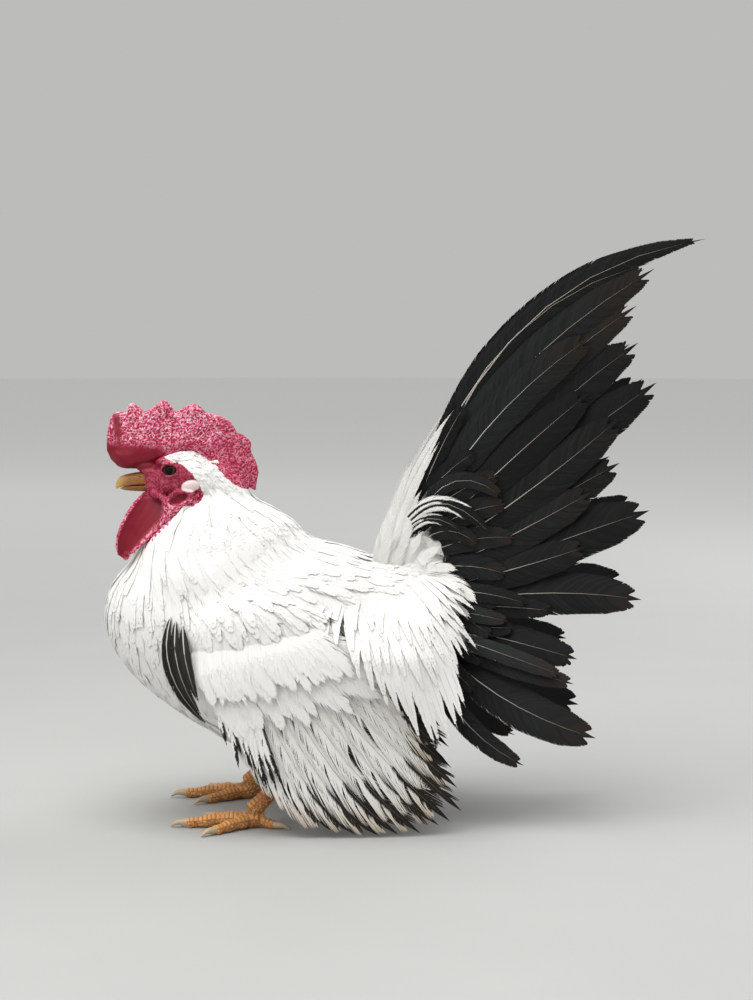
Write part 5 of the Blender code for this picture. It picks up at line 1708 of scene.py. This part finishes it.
# A tier: keys, count, lift.
SADDLE_TIERS = (
    (SADDLE_KEYS, 20, (-20, 2.6, 34)), (MIDDLE_SADDLE_KEYS, 18, (-20, 3.8, 34)),
    (UPPER_SADDLE_KEYS, 18, (-20, 5.2, 34)),
)
for name, side in SIDES.items():
    coat = Coat(f"saddle_hackles_{name}")
    for keys, count, lift in SADDLE_TIERS:
        for feather in fanned(keys, count, 2.4):
            rail = side_rail(feather, saddle_plane, side, lift, draws.uniform(-0.06, 0.12))
            add_feather(coat, rail, feather[6], SADDLE_STYLE, no_ink, side_spot)
    coat.sewn(white_plumage, "white_plumage")

# %% [markdown]
# The tail. Two long sickles lead it, and the tail feathers fan out below them, covered at
# their roots by coverts with thin pale shafts. The lower a feather points, the wider it
# spreads from the middle. All are black, with some brown worn tips. A few small coverts at the
# root have paler edges, two are white with black stripes, and white plumes stand before them.

# %% Shapes of the tail feathers
TAIL_ROOT = (6, 125)
TAIL_FEATHERS = (
    (8, 164, 40, 254, 143, 317, 10.5), (9, 159, 52, 242, 134, 296, 11),
    (10, 153, 66, 226, 135, 275, 12), (12, 147, 76, 204, 144, 254, 14.5),
    (14, 139, 76, 180, 124, 207, 13), (15, 131, 82, 160, 141, 180, 14.5),
    (16, 123, 80, 138, 136, 131, 12.5), (17, 115, 64, 106, 100, 97, 10),
    (17, 108, 50, 68, 110, 55, 12.5), (15, 102, 26, 56, 70, 37, 6.5),
)
SICKLES = ((9, 170, 48, 314, 171, 333, 8.5), (8, 168, 40, 296, 140, 320, 9.0))
TAIL_COVERTS = (
    (6, 168, 16, 206, 37, 240, 5), (8, 161, 42, 234, 108, 279, 12),
    (10, 155, 58, 206, 106, 247, 12), (12, 148, 72, 186, 124, 233, 12.5),
    (14, 140, 64, 164, 108, 192, 11.5), (15, 132, 62, 144, 106, 160, 11),
    (16, 124, 50, 126, 88, 124, 6.5), (16, 116, 42, 112, 66, 112, 6),
    (16, 109, 50, 94, 97, 83, 6.5),
)
ROOT_COVERTS = (
    (4, 170, 20, 200, 44, 214, 6), (6, 164, 26, 192, 56, 200, 7), (8, 158, 30, 180, 62, 184, 7),
    (10, 150, 34, 166, 66, 164, 7), (12, 142, 34, 152, 62, 144, 7), (12, 134, 32, 138, 58, 126, 6.5),
    (12, 126, 30, 124, 52, 108, 6), (12, 118, 28, 108, 48, 92, 6), (10, 110, 24, 94, 42, 76, 6),
)
EDGED_COVERTS = (
    (6, 166, 26, 214, 58, 188, 5), (8, 154, 24, 178, 45, 160, 5), (14, 132, 42, 136, 72, 128, 5.5),
    (14, 124, 36, 122, 62, 118, 5), (14, 112, 44, 104, 90, 88, 5.5),
)
LACED_COVERTS = ((-4, 158, 16, 206, 52, 165, 5.0), (-2, 154, 10, 188, 36, 168, 3.6))
LEADING_PLUMES = (
    (-12, 136, -5, 192, 30, 238, 1.7), (-10, 136, 1, 186, 27, 231, 1.7), (-8, 138, 2, 184, 22, 220, 1.5),
    (-14, 134, -8, 172, 7, 208, 3.0), (-12, 134, -3, 174, 10, 202, 3.2), (-9, 134, 1, 172, 12, 192, 3.4),
    (-16, 132, -12, 160, 0, 186, 4.4), (-13, 132, -7, 160, 4, 182, 4.6), (-9, 132, -1, 158, 9, 178, 4.6),
    (-15, 130, -12, 152, -4, 170, 5.0), (-10, 130, -4, 152, 6, 166, 5.2), (-5, 132, 3, 152, 14, 168, 5.0),
    (-4, 150, 8, 170, 15, 146, 4.4), (-2, 130, 10, 152, 24, 158, 5.4),
    (-4, 130, 12, 152, 34, 144, 6.4), (-4, 128, 22, 152, 45, 127, 7.6), (-4, 124, 18, 138, 40, 118, 6.4),
)
print("tail feathers on a side:", len(TAIL_FEATHERS) + len(SICKLES))

# %% [markdown]
# Tail feathers are stiff: their barbs hold together, so the vane hardly frays and the shaft is
# strong. Coverts are softer, and the plumes softest. The finest black is left to the finish,
# and an ink only says which parts of a feather are white.

# %% Tail
TAIL_STYLE = style(spacing=1.45, sweep=1.6, fray=0.01, clump=0.05, clump_size=12, cover=0.85, cup=0.10,
                   shaft=0.40, stations=(0, 0.5, 0.94, 1))
SICKLE_STYLE = style(outline=LEAF, spacing=1.4, sweep=1.8, fray=0.02, clump=0.08, clump_size=12, cover=0.85,
                     cup=0.14, shaft=0.45, stations=(0, 0.5, 0.94, 1))
ROOT_STYLE = style(spacing=1.3, sweep=1.8, fray=0.04, clump=0.1, clump_size=6, cover=0.85, shaft=0.25,
                   stations=(0, 0.5, 0.94, 1))
LACED_STYLE = style(outline=LEAF, spacing=1.0, sweep=2.8, fray=0.12, clump=0.3, clump_size=5,
                    cover=0.75, cup=0.1, shaft=0.3, stations=(0, 0.25, 0.5, 0.75, 1))
PLUME_STYLE = style(outline=LEAF, spacing=1.1, sweep=3.6, fray=0.2, clump=0.3, clump_size=5, cover=0.72,
                    cup=0.05, shaft=0)


def tail_plane(x, z):
    """How far out the tail's side lies: the lower a feather points, the wider it spreads."""
    dx, dz = x - TAIL_ROOT[0], z - TAIL_ROOT[1]
    reach, turn = np.hypot(dx, dz), np.arctan2(dz, dx)
    lower = np.clip((math.radians(80) - turn) / math.radians(110), 0, 1)
    return 6 + reach * (0.03 + 0.33 * lower**1.3)


def edged_ink(along, across, chance):
    """Black with a fine paler edge, and a grey root."""
    rim = np.maximum(ramp(abs(across), 0.72, 0.95), 0.5 * ramp(along, 0.93, 0.99))
    return (1 - 0.30 * rim) * (0.35 + 0.65 * ramp(along, 0.2, 0.5))


def laced_ink(along, across, chance):
    """White with a black stripe on either side of the shaft, which widen toward the tip."""
    wide = 0.40 + 0.5 * ramp(along, 0.55, 0.9)
    middle = np.maximum(ramp(abs(across), 0.02, 0.08), ramp(along, 0.5, 0.6))
    return (1 - ramp(abs(across), wide, wide + 0.12)) * ramp(along, 0.10, 0.25) * middle


# A tier: feathers, style, lift, how steeply the lower edge is raised, ink.
TAIL_TIERS = {
    "tail_feathers": (TAIL_FEATHERS, TAIL_STYLE, (-7, 0, 30), 0.05, full_ink),
    "sickles": (SICKLES, SICKLE_STYLE, (-6, -2.8, 30), 0.05, full_ink),
    "tail_coverts": (TAIL_COVERTS, TAIL_STYLE, (-6, 2.8, 30), 0.05, full_ink),
    "root_coverts": (ROOT_COVERTS, ROOT_STYLE, (-4, 4.6, 24), 0.08, full_ink),
    "edged_coverts": (EDGED_COVERTS, ROOT_STYLE, (-4, 6.0, 24), 0.08, edged_ink),
    "laced_coverts": (LACED_COVERTS, LACED_STYLE, (-4, 9.5, 24), 0.10, laced_ink),
    "leading_plumes": (LEADING_PLUMES, PLUME_STYLE, (-2, 6.5, 30), 0.05, no_ink),
}
for name, side in SIDES.items():
    for title, (feathers, how, lift, raised, ink) in TAIL_TIERS.items():
        coat = Coat(f"{title}_{name}")
        for feather in fanned(feathers, len(feathers)):
            rail = side_rail(feather, tail_plane, side, lift, -raised, 30)
            add_feather(coat, rail, feather[6], how, ink, side_spot)
        replaced = ["tail"] if title == "tail_feathers" else []
        coat.sewn(tail_plumage, "black_plumage", *replaced)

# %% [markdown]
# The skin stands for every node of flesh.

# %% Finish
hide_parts("torso", "saddle", "neck", "head", "comb", "wattle_left", "wattle_right",
            "earlobe_left", "earlobe_right", "thigh_left", "thigh_right", "shank_left",
            "shank_right", "foot_left", "foot_right")
